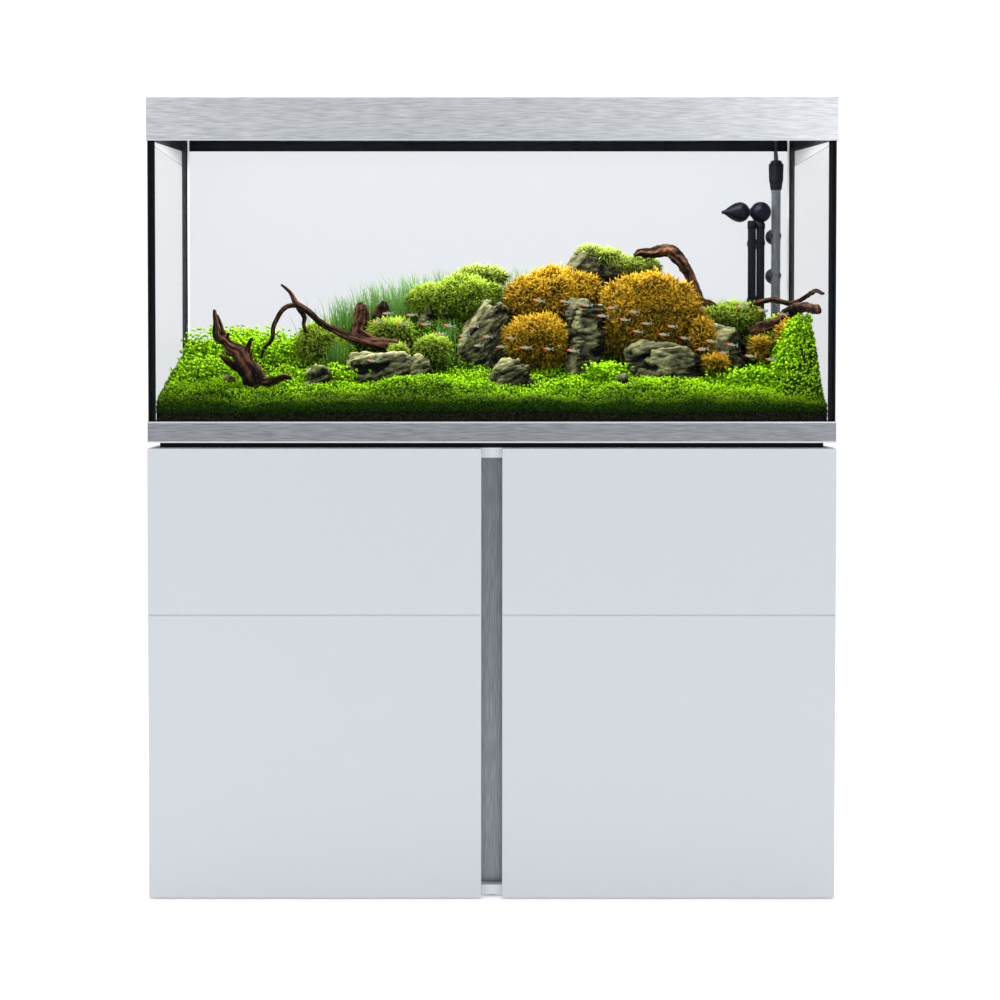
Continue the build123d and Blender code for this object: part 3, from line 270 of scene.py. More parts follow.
def band(name, section, path, closed, finishes, bright=(), inner=()):
    """Carries a section (outward step, height) round the corners of a path; each corner
    gives x, y and the way that a step moves it. Faces of the section's bright runs take
    the second finish, its inner runs the third."""
    form = bmesh.new()
    rings = []
    for x, y, step_x, step_y in path:
        rings.append([form.verts.new((x + step_x * out, y + step_y * out, z)) for out, z in section])
    count = len(section)
    pairs = list(zip(rings, rings[1:])) + ([(rings[-1], rings[0])] if closed else [])
    for here, there in pairs:
        for i in range(count):
            j = (i + 1) % count
            face = form.faces.new((here[i], there[i], there[j], here[j]))
            face.material_index = 1 if i in bright else 2 if i in inner else 0
    if not closed:
        form.faces.new(rings[0][::-1])
        form.faces.new(rings[-1])
    piece = made(name, settled(name, form), *finishes)
    softened = piece.modifiers.new("soft_edges", "BEVEL")
    softened.width = 0.0003
    softened.segments = 2
    softened.limit_method = "ANGLE"
    return piece


trim_low, trim_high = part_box("base_trim")
around = [(-GLASS_X, -GLASS_Y, -1, -1), (GLASS_X, -GLASS_Y, 1, -1),
          (GLASS_X, GLASS_Y, 1, 1), (-GLASS_X, GLASS_Y, -1, 1)]
foot, head = trim_low.z, trim_high.z
trim_section = [
    (0.0, foot), (0.0019, foot), (0.0020, foot + 0.0026), (0.0012, foot + 0.0034),
    (0.0012, head - 0.0034), (0.0020, head - 0.0026), (0.0019, head), (0.0, head),
]
base_trim = band("base_trim_bands", trim_section, around, True, (brushed_along, lip_metal), bright=(1, 5))
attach(base_trim, "aquarium")
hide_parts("base_trim")

# ------------------------------------------------------------------ glass
# Five float-glass panes and two stiffening braces, bonded with black silicone: clear faces,
# slightly grey at the back and sides, and ground edges that look nearly black.


def clear(name, tint, through, rough=0.02):
    """Clear glass: the shader's own alpha lets the planting behind it show."""
    material, tree, shader = paint(name, tint, rough, shine=0.3)
    shader.inputs["Alpha"].default_value = through
    return material


front_face = clear("front_glass_face", (0.01, 0.015, 0.015), 0.02)
back_face = clear("back_glass_face", (0.020, 0.040, 0.060), 0.118, 0.3)
side_face = clear("side_glass_face", (0.05, 0.05, 0.06), 0.145, 0.3)
glass_edge = coat("ground_glass_edge", (0.006, 0.013, 0.014), 0.35, 500, shine=0.2, bump=0.08,
                  spread=(0.28, 0.42))
GROUND_EDGE = 0.0008


def pane(node, face_finish):
    """A sheet of glass with ground edges: the two broad faces take the clear finish."""
    low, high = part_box(node)
    form = bmesh.new()
    size = high - low
    stand = Matrix.Translation((low + high) / 2) @ Matrix.Diagonal((*size, 1))
    bmesh.ops.create_cube(form, size=1.0, matrix=stand)
    bmesh.ops.bevel(form, geom=form.edges[:], offset=GROUND_EDGE, segments=1, affect="EDGES")
    thin = min(range(3), key=lambda axis: size[axis])
    for face in form.faces:
        face.material_index = 0 if abs(face.normal[thin]) > 0.99 else 1
    sheet = made(node + "_pane", settled(node + "_pane", form, False), face_finish, glass_edge)
    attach(sheet, "aquarium")
    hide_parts(node)


pane("front_glass", front_face)
pane("back_glass", back_face)
pane("left_glass", side_face)
pane("right_glass", side_face)
recoat("bottom_glass", glass_edge)
recoat("glass_braces", clear("brace_glass", (0.10, 0.22, 0.19), 0.3))
silicone = coat("black_silicone", (0.003, 0.004, 0.006), 0.4, 300, shine=0.1, bump=0.2, spread=(0.35, 0.5))
pale_bead = coat("clear_bead", (0.85, 0.87, 0.90), 0.3, 200, bump=0.1, spread=(0.25, 0.4))
seam_low, seam_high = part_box("silicone_seams")
PANE_INSIDE_X, PANE_INSIDE_Y, BEAD = 0.638, 0.218, 0.003


def skinned(form, rings):
    """Faces from each ring to the next, and one over both ends."""
    for here, there in zip(rings, rings[1:]):
        for i in range(len(here)):
            j = (i + 1) % len(here)
            form.faces.new((here[i], here[j], there[j], there[i]))
    form.faces.new(rings[0][::-1])
    form.faces.new(rings[-1])


def upright(name, outline, finish):
    """A strip of one cross-section up a corner of the tank."""
    form = bmesh.new()
    skinned(form, [[form.verts.new((x, y, z)) for x, y in outline] for z in (seam_low.z, seam_high.z)])
    strip = made(name, settled(name, form), finish)
    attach(strip, "aquarium")
    return strip


for side, name in ((-1, "left"), (1, "right")):
    inside, outside = side * PANE_INSIDE_X, side * GLASS_X
    front_seam = upright(f"{name}_front_seam", [
        (outside, -PANE_INSIDE_Y), (inside - side * BEAD, -PANE_INSIDE_Y), (inside, -PANE_INSIDE_Y + BEAD),
        (inside, -PANE_INSIDE_Y + 0.001), (outside, -PANE_INSIDE_Y + 0.001)], silicone)
    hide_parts("silicone_seams")
    upright(f"{name}_back_seam", [
        (side * 0.6435, PANE_INSIDE_Y - 0.001), (side * 0.6435, PANE_INSIDE_Y),
        (inside - side * 0.0015, PANE_INSIDE_Y),
        (inside, PANE_INSIDE_Y - 0.0015), (inside, PANE_INSIDE_Y - 0.001)], silicone)
    upright(f"{name}_clear_bead", [
        (inside - side * 0.0017, PANE_INSIDE_Y), (inside - side * 0.0055, PANE_INSIDE_Y),
        (inside - side * 0.0017, PANE_INSIDE_Y - 0.0014)], pale_bead)

# ------------------------------------------------------------------ hood fascia
# One brushed aluminium strip folded round the front and both sides of the black hood frame,
# with a rolled lower edge and a narrow lip turned in along the top.
fascia_low, fascia_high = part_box("hood_fascia")
low_z, top_z = fascia_low.z, fascia_high.z
fascia_section = [
    (-0.0010, low_z + 0.0008), (-0.0002, low_z), (0.0, low_z + 0.0020), (-0.0003, low_z + 0.0028),
    (-0.0003, top_z - 0.0022), (0.0, top_z - 0.0014), (-0.0004, top_z), (-0.0028, top_z),
    (-0.0028, top_z - 0.0008), (-0.0012, top_z - 0.0012), (-0.0012, low_z + 0.0030),
]
HALF_X, HALF_Y = 0.650, 0.230
three_sides = [(-HALF_X, HALF_Y, -1, 0), (-HALF_X, -HALF_Y, -1, -1),
               (HALF_X, -HALF_Y, 1, -1), (HALF_X, HALF_Y, 1, 0)]
hood_metal = coat("hood_metal", (0.5, 0.51, 0.53), 0.36, 30, metal=0.9, stretch=(0.9, 0.9, 24), detail=8,
                  bump=0.25, depth=0.0003, spread=(0.30, 0.44),
                  colours=((0.385, 0.393, 0.405), (0.595, 0.605, 0.625)), sockets={"Anisotropic": 0.5})
# The inner faces are white and glow faintly (emission 0.30): painted light that lifts the shade inside the
# strip.
white_inside_painted_glow = coat("white_inside_painted_glow", (0.90, 0.92, 0.95), 0.5, 600, bump=0.1, spread=(0.45, 0.6),
                    sockets={"Emission Color": (0.93, 0.96, 1.0, 1), "Emission Strength": 0.30})
fascia = band("hood_fascia_strip", fascia_section, three_sides, False, (hood_metal, lip_metal, white_inside_painted_glow),
              bright=(1, 2), inner=(9, 10))
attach(fascia, "aquarium")
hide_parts("hood_fascia")

# ------------------------------------------------------------------ hood covers
# Satin grey moulded covers: a fixed rear plate with two cable cut-outs, and two flaps that
# lift for feeding. The tubes under them are opal acrylic.
cover_grey = coat("cover_moulding", (0.38, 0.39, 0.41), 0.42, 640, bump=0.3, depth=0.0003,
                  spread=(0.36, 0.52))
for cover in ("rear_cover", "left_flap", "right_flap"):
    recoat(cover, cover_grey)
opal = coat("opal_acrylic", (0.9, 0.92, 0.95), 0.3, 100, spread=(0.25, 0.35),
            sockets={"Emission Color": (0.92, 0.96, 1.0, 1), "Emission Strength": 2.0})
recoat("light_tubes", opal)

# ------------------------------------------------------------------ heater
# A glass rod heater: a metal-sleeved core wound with wire in a sealed tube, a black ribbed
# cap with a dial on top, held to the back pane by rubber suckers.
tube_finish = clear("heater_tube_glass", (0.10, 0.11, 0.13), 0.5, 0.06)
recoat("heater_tube", tube_finish)
sleeve = coat("metal_sleeve", (0.17, 0.18, 0.20), 0.22, 200, metal=0.9, bump=0.2, spread=(0.2, 0.34))
recoat("heater_core", sleeve)
recoat("heater_cap", moulded)
recoat("heater_dial", moulded)
rubber = coat("sucker_rubber", (0.006, 0.007, 0.010), 0.4, 300, shine=0.2, bump=0.15, spread=(0.35, 0.5))
recoat("suction_clips", rubber)

core_low, core_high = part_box("heater_core")
core_x, core_y = (core_low.x + core_high.x) / 2, (core_low.y + core_high.y) / 2
WINDS, PER_WIND, WIND_RADIUS = 34, 12, 0.0070
winding = []
for step in range(WINDS * PER_WIND + 1):
    turn = 2 * math.pi * step / PER_WIND
    rise = core_low.z + 0.02 + (core_high.z - core_low.z - 0.06) * step / (WINDS * PER_WIND)
    winding.append((core_x + WIND_RADIUS * math.cos(turn), core_y + WIND_RADIUS * math.sin(turn), rise))
heater_winding = wire("heater_winding", winding, 0.0010, steel, "POLY")[0]
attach(heater_winding, "aquarium")


def turned(name, centre, section, finish, sides=40, ribs=0, rib=0.0, axis="Z"):
    """A piece turned about an axis from (radius, place along it) steps; ribs stand on it."""
    form = bmesh.new()
    rings = []
    for radius, z in section:
        ring = []
        for i in range(sides):
            turn = 2 * math.pi * i / sides
            reach = radius + (rib * max(0.0, math.cos(ribs * turn)) if ribs else 0.0)
            a, b = centre[0] + reach * math.cos(turn), centre[1] + reach * math.sin(turn)
            ring.append(form.verts.new({"X": (z, a, b), "Y": (a, z, b), "Z": (a, b, z)}[axis]))
        rings.append(ring)
    skinned(form, rings)
    return made(name, settled(name, form), finish, smooth=True)


cap_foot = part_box("heater_cap")[0].z
cap_sleeve = turned("heater_cap_ribs", (core_x, core_y), [
    (0.0108, cap_foot - 0.001), (0.0118, cap_foot + 0.004), (0.0132, cap_foot + 0.018),
    (0.0144, cap_foot + 0.032), (0.0150, cap_foot + 0.040), (0.0150, cap_foot + 0.053),
    (0.0120, cap_foot + 0.0545), (0.0100, cap_foot + 0.060), (0.0058, cap_foot + 0.061),
], moulded, sides=72, ribs=18, rib=0.0006)
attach(cap_sleeve, "aquarium")


def joined(name, pieces):
    """Makes one object of several."""
    for other in bpy.context.selected_objects:
        other.select_set(False)
    for piece in pieces:
        piece.select_set(True)
    bpy.context.view_layer.objects.active = pieces[0]
    bpy.ops.object.join()
    pieces[0].name = name
    pieces[0].data.name = name
    return pieces[0]


TUBE_CLIPS = (1.202, 1.285)
PIPE_CLIPS = (1.150, 1.270)
PIPE_MIDDLE = 0.5605
PIPE_Y = 0.175


def clasp(name, x, y, z, inner, outer, tall):
    """An open ring that grips a tube from behind."""
    form = bmesh.new()
    arcs = []
    for step in range(25):
        turn = math.radians(-38 + 256 * step / 24)
        out = Vector((math.cos(turn), math.sin(turn), 0))
        arcs.append([form.verts.new(Vector((x, y, z + rise)) + out * reach)
                     for reach, rise in ((inner, -tall), (outer, -tall), (outer, tall), (inner, tall))])
    skinned(form, arcs)
    return made(name, settled(name, form), rubber)


clip_parts = []
for number, z in enumerate(TUBE_CLIPS):
    clip_parts.append(turned(f"tube_sucker_{number}", (core_x, z), [
        (0.0035, 0.1935), (0.0048, 0.1945), (0.0050, 0.2040), (0.0080, 0.2065), (0.0130, 0.2110),
        (0.0163, 0.2160), (0.0165, 0.2176), (0.0150, 0.2180)], rubber, axis="Y"))
    clip_parts.append(clasp(f"tube_clasp_{number}", core_x, core_y, z, 0.0101, 0.0117, 0.004))
for number, z in enumerate(PIPE_CLIPS):
    clip_parts.append(turned(f"pipe_sucker_{number}", (PIPE_MIDDLE, z), [
        (0.0030, 0.1860), (0.0040, 0.1870), (0.0045, 0.2060), (0.0085, 0.2105), (0.0128, 0.2165),
        (0.0130, 0.2178), (0.0120, 0.2180)], rubber, axis="Y"))
    clip_parts.append(turned(f"pipe_bar_{number}", (0.1862, z), [
        (0.0016, 0.5480), (0.0024, 0.5488), (0.0024, 0.5722), (0.0016, 0.5730)], rubber, sides=16, axis="X"))
    for side in (-0.009, 0.009):
        clip_parts.append(clasp(f"pipe_clasp_{number}", PIPE_MIDDLE + side, PIPE_Y, z, 0.0086, 0.0100, 0.004))
clips = joined("suction_clips_soft", clip_parts)
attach(clips, "aquarium")
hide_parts("suction_clips")

# ------------------------------------------------------------------ filter pipes
# Twin black tubes rise from a bulkhead in the floor; the outlet ends in two swivel balls and
# a round nozzle that blows along the tank.
pipe_black = coat("pipe_black", (0.003, 0.004, 0.008), 0.34, 240, shine=0.09, bump=0.05,
                  spread=(0.24, 0.36))
for pipe in ("pipe_bulkhead", "intake_pipe", "outlet_pipe", "outlet_link"):
    recoat(pipe, pipe_black)
nozzle_low, nozzle_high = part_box("outlet_nozzle")
nozzle_middle = ((nozzle_low.y + nozzle_high.y) / 2, (nozzle_low.z + nozzle_high.z) / 2)
tip = nozzle_low.x
nozzle = turned("outlet_nozzle_drop", nozzle_middle, [
    (0.0024, tip), (0.0036, tip + 0.0010), (0.0040, tip + 0.0030), (0.0038, tip + 0.0050),
    (0.0062, tip + 0.0085),
    (0.0110, tip + 0.0145), (0.0152, tip + 0.0205), (0.0186, tip + 0.0270), (0.0207, tip + 0.0335),
    (0.0213, tip + 0.0380), (0.0207, tip + 0.0425), (0.0186, tip + 0.0480), (0.0150, tip + 0.0528),
    (0.0100, tip + 0.0564), (0.0050, nozzle_high.x)], pipe_black, axis="X")
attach(nozzle, "outlet_nozzle")
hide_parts("outlet_nozzle")
OUTLET_X, INTAKE_X = 0.5695, 0.5515
neck = turned("outlet_neck", (OUTLET_X, PIPE_Y), [
    (0.0088, 1.2990), (0.0096, 1.3000), (0.0096, 1.3100), (0.0080, 1.3125), (0.0060, 1.3145)], pipe_black)
stopper = turned("intake_stopper", (INTAKE_X, PIPE_Y), [
    (0.0088, 1.2990), (0.0094, 1.3000), (0.0094, 1.3130), (0.0080, 1.3160), (0.0040, 1.3165)], pipe_black)
for part in (neck, stopper):
    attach(part, "aquarium")

# ------------------------------------------------------------------ canister filter
# A moulded canister in the right-hand cupboard, with three media baskets, a black head and a
# bail that locks it and carries it.
filter_grey = coat("canister_moulding", (0.10, 0.115, 0.13), 0.42, 520, bump=0.25, depth=0.0003,
                   spread=(0.36, 0.5))
for part in ("filter_canister", "filter_baskets"):
    recoat(part, filter_grey)
for part in ("filter_head", "filter_handle"):
    recoat(part, moulded)

# ------------------------------------------------------------------ soil
# Fine black planting soil, heaped by hand: low at the front pane, up to the back, with a
# mound under the stones and a bank at the right-hand end.
BED_X, BED_Y = 0.6345, 0.2145
SOIL_FRONT, SOIL_MID, SOIL_BACK = 0.922, 0.983, 1.046
BANK_TOP = 1.074
MOUND_X = (-0.46, -0.36, -0.22, -0.10, 0.05, 0.15, 0.26, 0.36, 0.46, 0.53, 0.64)
MOUND_Z = (0.98, 1.035, 1.060, 1.085, 1.105, 1.115, 1.120, 1.112, 1.080, 1.060, 1.060)


def eased(value):
    value = min(1.0, max(0.0, value))
    return value * value * (3 - 2 * value)


def soil_top(x, y):
    """Height of the soil under a point."""
    if y < 0:
        height = SOIL_FRONT + (SOIL_MID - SOIL_FRONT) * (y + BED_Y) / BED_Y
    else:
        height = SOIL_MID + (SOIL_BACK - SOIL_MID) * y / BED_Y
    mound = float(np.interp(x, MOUND_X, MOUND_Z))
    height += max(0.0, mound - height) * eased((y - 0.005) / 0.085)
    height += max(0.0, BANK_TOP - height) * eased((x - 0.545) / 0.075) * eased((y + 0.20) / 0.17)
    return height + 0.004 * noise.noise(Vector((x * 7, y * 7, 3.0)))


def carpet_top(x, y):
    """Height of the leaves over it: a soft cushion, thickest along the front."""
    front = math.exp(-(((y + 0.135) / 0.060) ** 2))
    swell = 0.021 * math.exp(-(((x + 0.13) / 0.12) ** 2)) + 0.013 * math.exp(-(((x - 0.31) / 0.13) ** 2))
    swell += 0.010 * math.exp(-(((x + 0.56) / 0.09) ** 2)) - 0.008 * math.exp(-(((x - 0.07) / 0.06) ** 2))
    lumps = 0.007 * noise.noise(Vector((x * 14, y * 14, 5.0)))
    lumps += 0.004 * noise.noise(Vector((x * 34, y * 34, 8.0)))
    return soil_top(x, y) + 0.021 + swell * front + lumps


def layer(name, floor_of, top_of, step, finish, inset=0.0):
    """A closed layer between two heights over the bed."""
    across, deep = int(2 * BED_X / step), int(2 * BED_Y / step)
    form = bmesh.new()
    sheets = []
    for height_of in (floor_of, top_of):
        grid = []
        for j in range(deep + 1):
            y = (-BED_Y + inset) * (1 - 2 * j / deep)
            line = [(-BED_X + inset) * (1 - 2 * i / across) for i in range(across + 1)]
            grid.append([form.verts.new((x, y, height_of(x, y))) for x in line])
        sheets.append(grid)
    below, above = sheets
    for j in range(deep):
        for i in range(across):
            form.faces.new((above[j][i], above[j][i + 1], above[j + 1][i + 1], above[j + 1][i]))
            form.faces.new((below[j][i], below[j + 1][i], below[j + 1][i + 1], below[j][i + 1]))
        form.faces.new((below[j][0], above[j][0], above[j + 1][0], below[j + 1][0]))
        form.faces.new((below[j + 1][-1], above[j + 1][-1], above[j][-1], below[j][-1]))
    for i in range(across):
        form.faces.new((below[0][i + 1], above[0][i + 1], above[0][i], below[0][i]))
        form.faces.new((below[-1][i], above[-1][i], above[-1][i + 1], below[-1][i + 1]))
    return made(name, settled(name, form, False), finish, smooth=True)


GLASS_FLOOR = 0.8822
soil_finish = coat("soil_grains", (0.01, 0.008, 0.005), 0.9, 260, shine=0.08, detail=3, bump=1.0,
                   depth=0.003, colours=((0.0015, 0.0015, 0.001), (0.020, 0.017, 0.010)), low=0.42,
                   high=0.72)
soil = layer("soil", lambda x, y: GLASS_FLOOR, soil_top, 0.012, soil_finish)
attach(soil, "aquarium")
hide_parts("soil_bed")

# ------------------------------------------------------------------ carpet plants
# A dense carpet of tiny round leaves, lime where the light falls and nearly black in painted shade
# at its foot, with looser sprigs at both ends; every leaf is rooted in the soil.
random.seed(11)
draw = np.random.default_rng(11)


def leaf_finish(name, rough=0.5):
    """Leaves take their colour from the tint stored on each of them."""
    material, tree, shader = paint(name, (0.2, 0.4, 0.05), rough, shine=0.03)
    tint = tree.nodes.new("ShaderNodeAttribute")
    tint.attribute_name = "tint"
    place = tree.nodes.new("ShaderNodeTexCoord")
    vary = tree.nodes.new("ShaderNodeTexNoise")
    vary.inputs["Scale"].default_value = 160
    shade = tree.nodes.new("ShaderNodeMapRange")
    shade.inputs["To Min"].default_value = 0.7
    shade.inputs["To Max"].default_value = 1.3
    mixed = tree.nodes.new("ShaderNodeVectorMath")
    mixed.operation = "SCALE"
    tree.links.new(place.outputs["Object"], vary.inputs["Vector"])
    tree.links.new(vary.outputs["Fac"], shade.inputs["Value"])
    tree.links.new(tint.outputs["Color"], mixed.inputs[0])
    tree.links.new(shade.outputs["Result"], mixed.inputs["Scale"])
    tree.links.new(mixed.outputs["Vector"], shader.inputs["Base Color"])
    return material


def tinted(mesh, tones):
    """Keeps a colour on every vertex."""
    tint = mesh.color_attributes.new("tint", "FLOAT_COLOR", "POINT")
    tint.data.foreach_set("color", np.asarray(tones, float).reshape(-1))


def leaves(name, roots, ways, lengths, widths, tints, finish, curl=0.3, foot=0.35):
    """One closed four-sided leaf at every root: narrow at its foot, widest past the middle."""
    roots, ways = np.asarray(roots, float), np.asarray(ways, float)
    lengths, widths = np.asarray(lengths, float)[:, None], np.asarray(widths, float)[:, None]
    ways /= np.linalg.norm(ways, axis=1)[:, None]
    sides = np.cross(ways, draw.normal(size=ways.shape))
    sides /= np.linalg.norm(sides, axis=1)[:, None] + 1e-9
    fronts = np.cross(sides, ways)
    count = len(roots)
    verts = np.empty((count, 4, 3))
    verts[:, 0] = roots
    verts[:, 1] = roots + ways * lengths * 0.6 + sides * widths / 2
    verts[:, 2] = roots + ways * lengths * 0.6 - sides * widths / 2
    verts[:, 3] = roots + ways * lengths + fronts * lengths * curl
    verts[:, :, 0] = np.clip(verts[:, :, 0], -BED_X - 0.002, BED_X + 0.002)
    verts[:, :, 1] = np.clip(verts[:, :, 1], -BED_Y - 0.002, BED_Y + 0.002)
    faces = np.array([[0, 1, 2], [0, 3, 1], [0, 2, 3], [1, 3, 2]])
    corners = (faces[None] + 4 * np.arange(count)[:, None, None]).reshape(-1, 3)
    mesh = bpy.data.meshes.new(name)
    mesh.vertices.add(4 * count)
    mesh.vertices.foreach_set("co", verts.reshape(-1))
    mesh.loops.add(corners.size)
    mesh.loops.foreach_set("vertex_index", corners.reshape(-1).astype(np.int32))
    mesh.polygons.add(len(corners))
    mesh.polygons.foreach_set("loop_start", np.arange(0, corners.size, 3, dtype=np.int32))
    tones = np.ones((count, 4, 4))
    tones[:, :, :3] = np.asarray(tints)[:, None, :]
    # Painted shade at the foot of every leaf (its root darkened by foot) and a painted highlight at its tip
    # (a quarter lighter).
    tones[:, 0, :3] *= foot
    tones[:, 3, :3] *= 1.25
    tinted(mesh, tones)
    mesh.update()
    return made(name, mesh, finish)


def blend_of(low, high, share):
    """Colours between two, one for each share."""
    share = np.clip(np.asarray(share), 0, 1)[:, None]
    return (1 - share) * np.array(low) + share * np.array(high)


# The stem layer under the leaves is coloured nearly black: painted shade in the gaps between the leaves.
carpet_stem_shade = coat("carpet_stems_painted_shade", (0.012, 0.03, 0.003), 0.8, 300, shine=0.05, detail=4, bump=0.8,
                   depth=0.002, colours=((0.001, 0.004, 0.0005), (0.014, 0.045, 0.002)))
carpet_base = layer("carpet_stems_painted_shade", soil_top, lambda x, y: carpet_top(x, y) - 0.006, 0.008,
                    carpet_stem_shade, 0.001)
carpet_leaf = leaf_finish("carpet_leaf")
CARPET_LEAVES = 42000


def over(height_of, xs, ys):
    """A height over each of many places."""
    return np.array([height_of(x, y) for x, y in zip(xs, ys)])


leaf_x = draw.uniform(-BED_X + 0.002, BED_X - 0.002, CARPET_LEAVES)
leaf_y = -BED_Y + 0.003 + (2 * BED_Y - 0.006) * draw.uniform(0, 1, CARPET_LEAVES) ** 1.5
top_z = over(carpet_top, leaf_x, leaf_y)
patch = np.array([noise.noise(Vector((x * 26, y * 26, 1.0))) for x, y in zip(leaf_x, leaf_y)])
roots = np.stack([leaf_x, leaf_y, top_z - draw.uniform(0.003, 0.008, CARPET_LEAVES)], axis=1)
ways = draw.normal(size=(CARPET_LEAVES, 3)) * (0.8, 0.8, 0.35) + (0, -0.2, 0.8)
# Painted light and shade on each leaf: lighter towards the right and in patches (lit), darker behind the
# middle stones (shaded) and along the front pane (near); the normal noise adds random tone.
lit = 0.54 + 0.32 * np.clip((leaf_x - 0.2) / 0.3, 0, 1) + 0.45 * patch
lit = lit + draw.normal(scale=0.27, size=CARPET_LEAVES)
shaded = np.clip((leaf_y - 0.02) / 0.06, 0, 1) * np.clip((0.52 - np.abs(leaf_x - 0.06)) / 0.08, 0, 1)
near = 0.10 + 0.90 * np.clip((leaf_y + BED_Y) / 0.10, 0, 1)
tints = blend_of((0.026, 0.13, 0.0005), (0.44, 0.84, 0.004), lit) * ((1 - 0.55 * shaded) * near)[:, None]
carpet_tops = leaves("carpet_leaves", roots, ways, draw.uniform(0.0055, 0.009, CARPET_LEAVES),
                     draw.uniform(0.0032, 0.0052, CARPET_LEAVES), tints, carpet_leaf)
# the cut face of the carpet against the front pane and both ends
EDGE_LEAVES = 16000
along = draw.uniform(-1, 1, EDGE_LEAVES)
up = draw.uniform(0, 1, EDGE_LEAVES)
side = draw.choice([0, 0, 1, -1], EDGE_LEAVES)
inward = draw.uniform(0.0, 0.005, EDGE_LEAVES)
edge_x = np.where(side == 0, along * (BED_X - 0.003), side * (BED_X - inward))
edge_y = np.where(side == 0, -BED_Y + inward, along * (BED_Y - 0.003))
low_z = over(soil_top, edge_x, edge_y)
high_z = over(carpet_top, edge_x, edge_y)
edge_roots = np.stack([edge_x, edge_y, low_z - 0.006 + (high_z - low_z + 0.004) * up], axis=1)
edge_ways = draw.normal(size=(EDGE_LEAVES, 3)) * (0.8, 0.5, 0.5) + (0, 0, 0.45)
# Painted shade on the cut face: much darker than the top, and darkest low down.
edge_lit = up ** 2.0 + draw.normal(scale=0.13, size=EDGE_LEAVES)
edge_tints = blend_of((0.002, 0.006, 0.0003), (0.07, 0.20, 0.001), edge_lit)
carpet_edge = leaves("carpet_edge_leaves", edge_roots, edge_ways, draw.uniform(0.0045, 0.007, EDGE_LEAVES),
                     draw.uniform(0.0028, 0.0042, EDGE_LEAVES), edge_tints, carpet_leaf, 0.1)
# looser sprigs: middle x, y, spread across and deep, how tall, how many
SPRIGS = [
    (-0.52, 0.13, 0.080, 0.055, 0.040, 1500), (-0.40, 0.12, 0.060, 0.050, 0.032, 900),
    (-0.57, -0.02, 0.040, 0.060, 0.024, 500), (0.59, -0.04, 0.035, 0.060, 0.022, 900),
    (0.52, -0.08, 0.060, 0.030, 0.024, 600), (0.60, 0.12, 0.030, 0.060, 0.026, 700),
    (0.23, -0.06, 0.030, 0.018, 0.030, 400), (-0.30, -0.06, 0.050, 0.020, 0.022, 300),
]
sprig_x, sprig_y, sprig_up = [], [], []
for x, y, wide, deep, tall, amount in SPRIGS:
    sprig_x.append(np.clip(draw.normal(x, wide * 0.6, amount), -BED_X + 0.004, BED_X - 0.004))
    sprig_y.append(np.clip(draw.normal(y, deep * 0.6, amount), -BED_Y + 0.004, BED_Y - 0.004))
    sprig_up.append(tall * draw.uniform(0, 1, amount))
sprig_x, sprig_y, sprig_up = (np.concatenate(parts) for parts in (sprig_x, sprig_y, sprig_up))
sprig_z = over(carpet_top, sprig_x, sprig_y) - 0.004 + sprig_up
sprig_count = len(sprig_x)
sprig_lit = 0.35 + sprig_up / 0.04 * 0.5 + draw.normal(scale=0.22, size=sprig_count)
carpet_sprigs = leaves("carpet_sprigs", np.stack([sprig_x, sprig_y, sprig_z], axis=1),
                       draw.normal(size=(sprig_count, 3)) * (0.8, 0.8, 0.4) + (0, -0.2, 0.5),
                       draw.uniform(0.008, 0.012, sprig_count), draw.uniform(0.005, 0.008, sprig_count),
                       blend_of((0.04, 0.18, 0.001), (0.50, 0.96, 0.008), sprig_lit), carpet_leaf)
for part in (carpet_base, carpet_tops, carpet_edge, carpet_sprigs):
    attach(part, "aquarium")
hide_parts("carpet_plants")

# ------------------------------------------------------------------ stones
# Split, layered grey-olive stones, set in the soil and piled towards the right, each one
# chipped into flat facets and weathered along its beds.


def islands(node):
    """The separate solids of a node, each as its sorted corners."""
    source = bmesh.new()
    source.from_mesh(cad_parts[node].data)
    bmesh.ops.remove_doubles(source, verts=source.verts, dist=1e-6)
    source.verts.index_update()
    left = set(source.verts)
    found = []
    while left:
        wave = [min(left, key=lambda v: v.index)]
        group = set(wave)
        while wave:
            wave = [e.other_vert(v) for v in wave for e in v.link_edges]
            wave = [v for v in set(wave) if v not in group]
            group.update(wave)
        left -= group
        found.append(sorted((v.co.copy() for v in group), key=lambda c: tuple(c)))
    source.free()
    return sorted(found, key=lambda group: tuple(sum(group, Vector()) / len(group)))


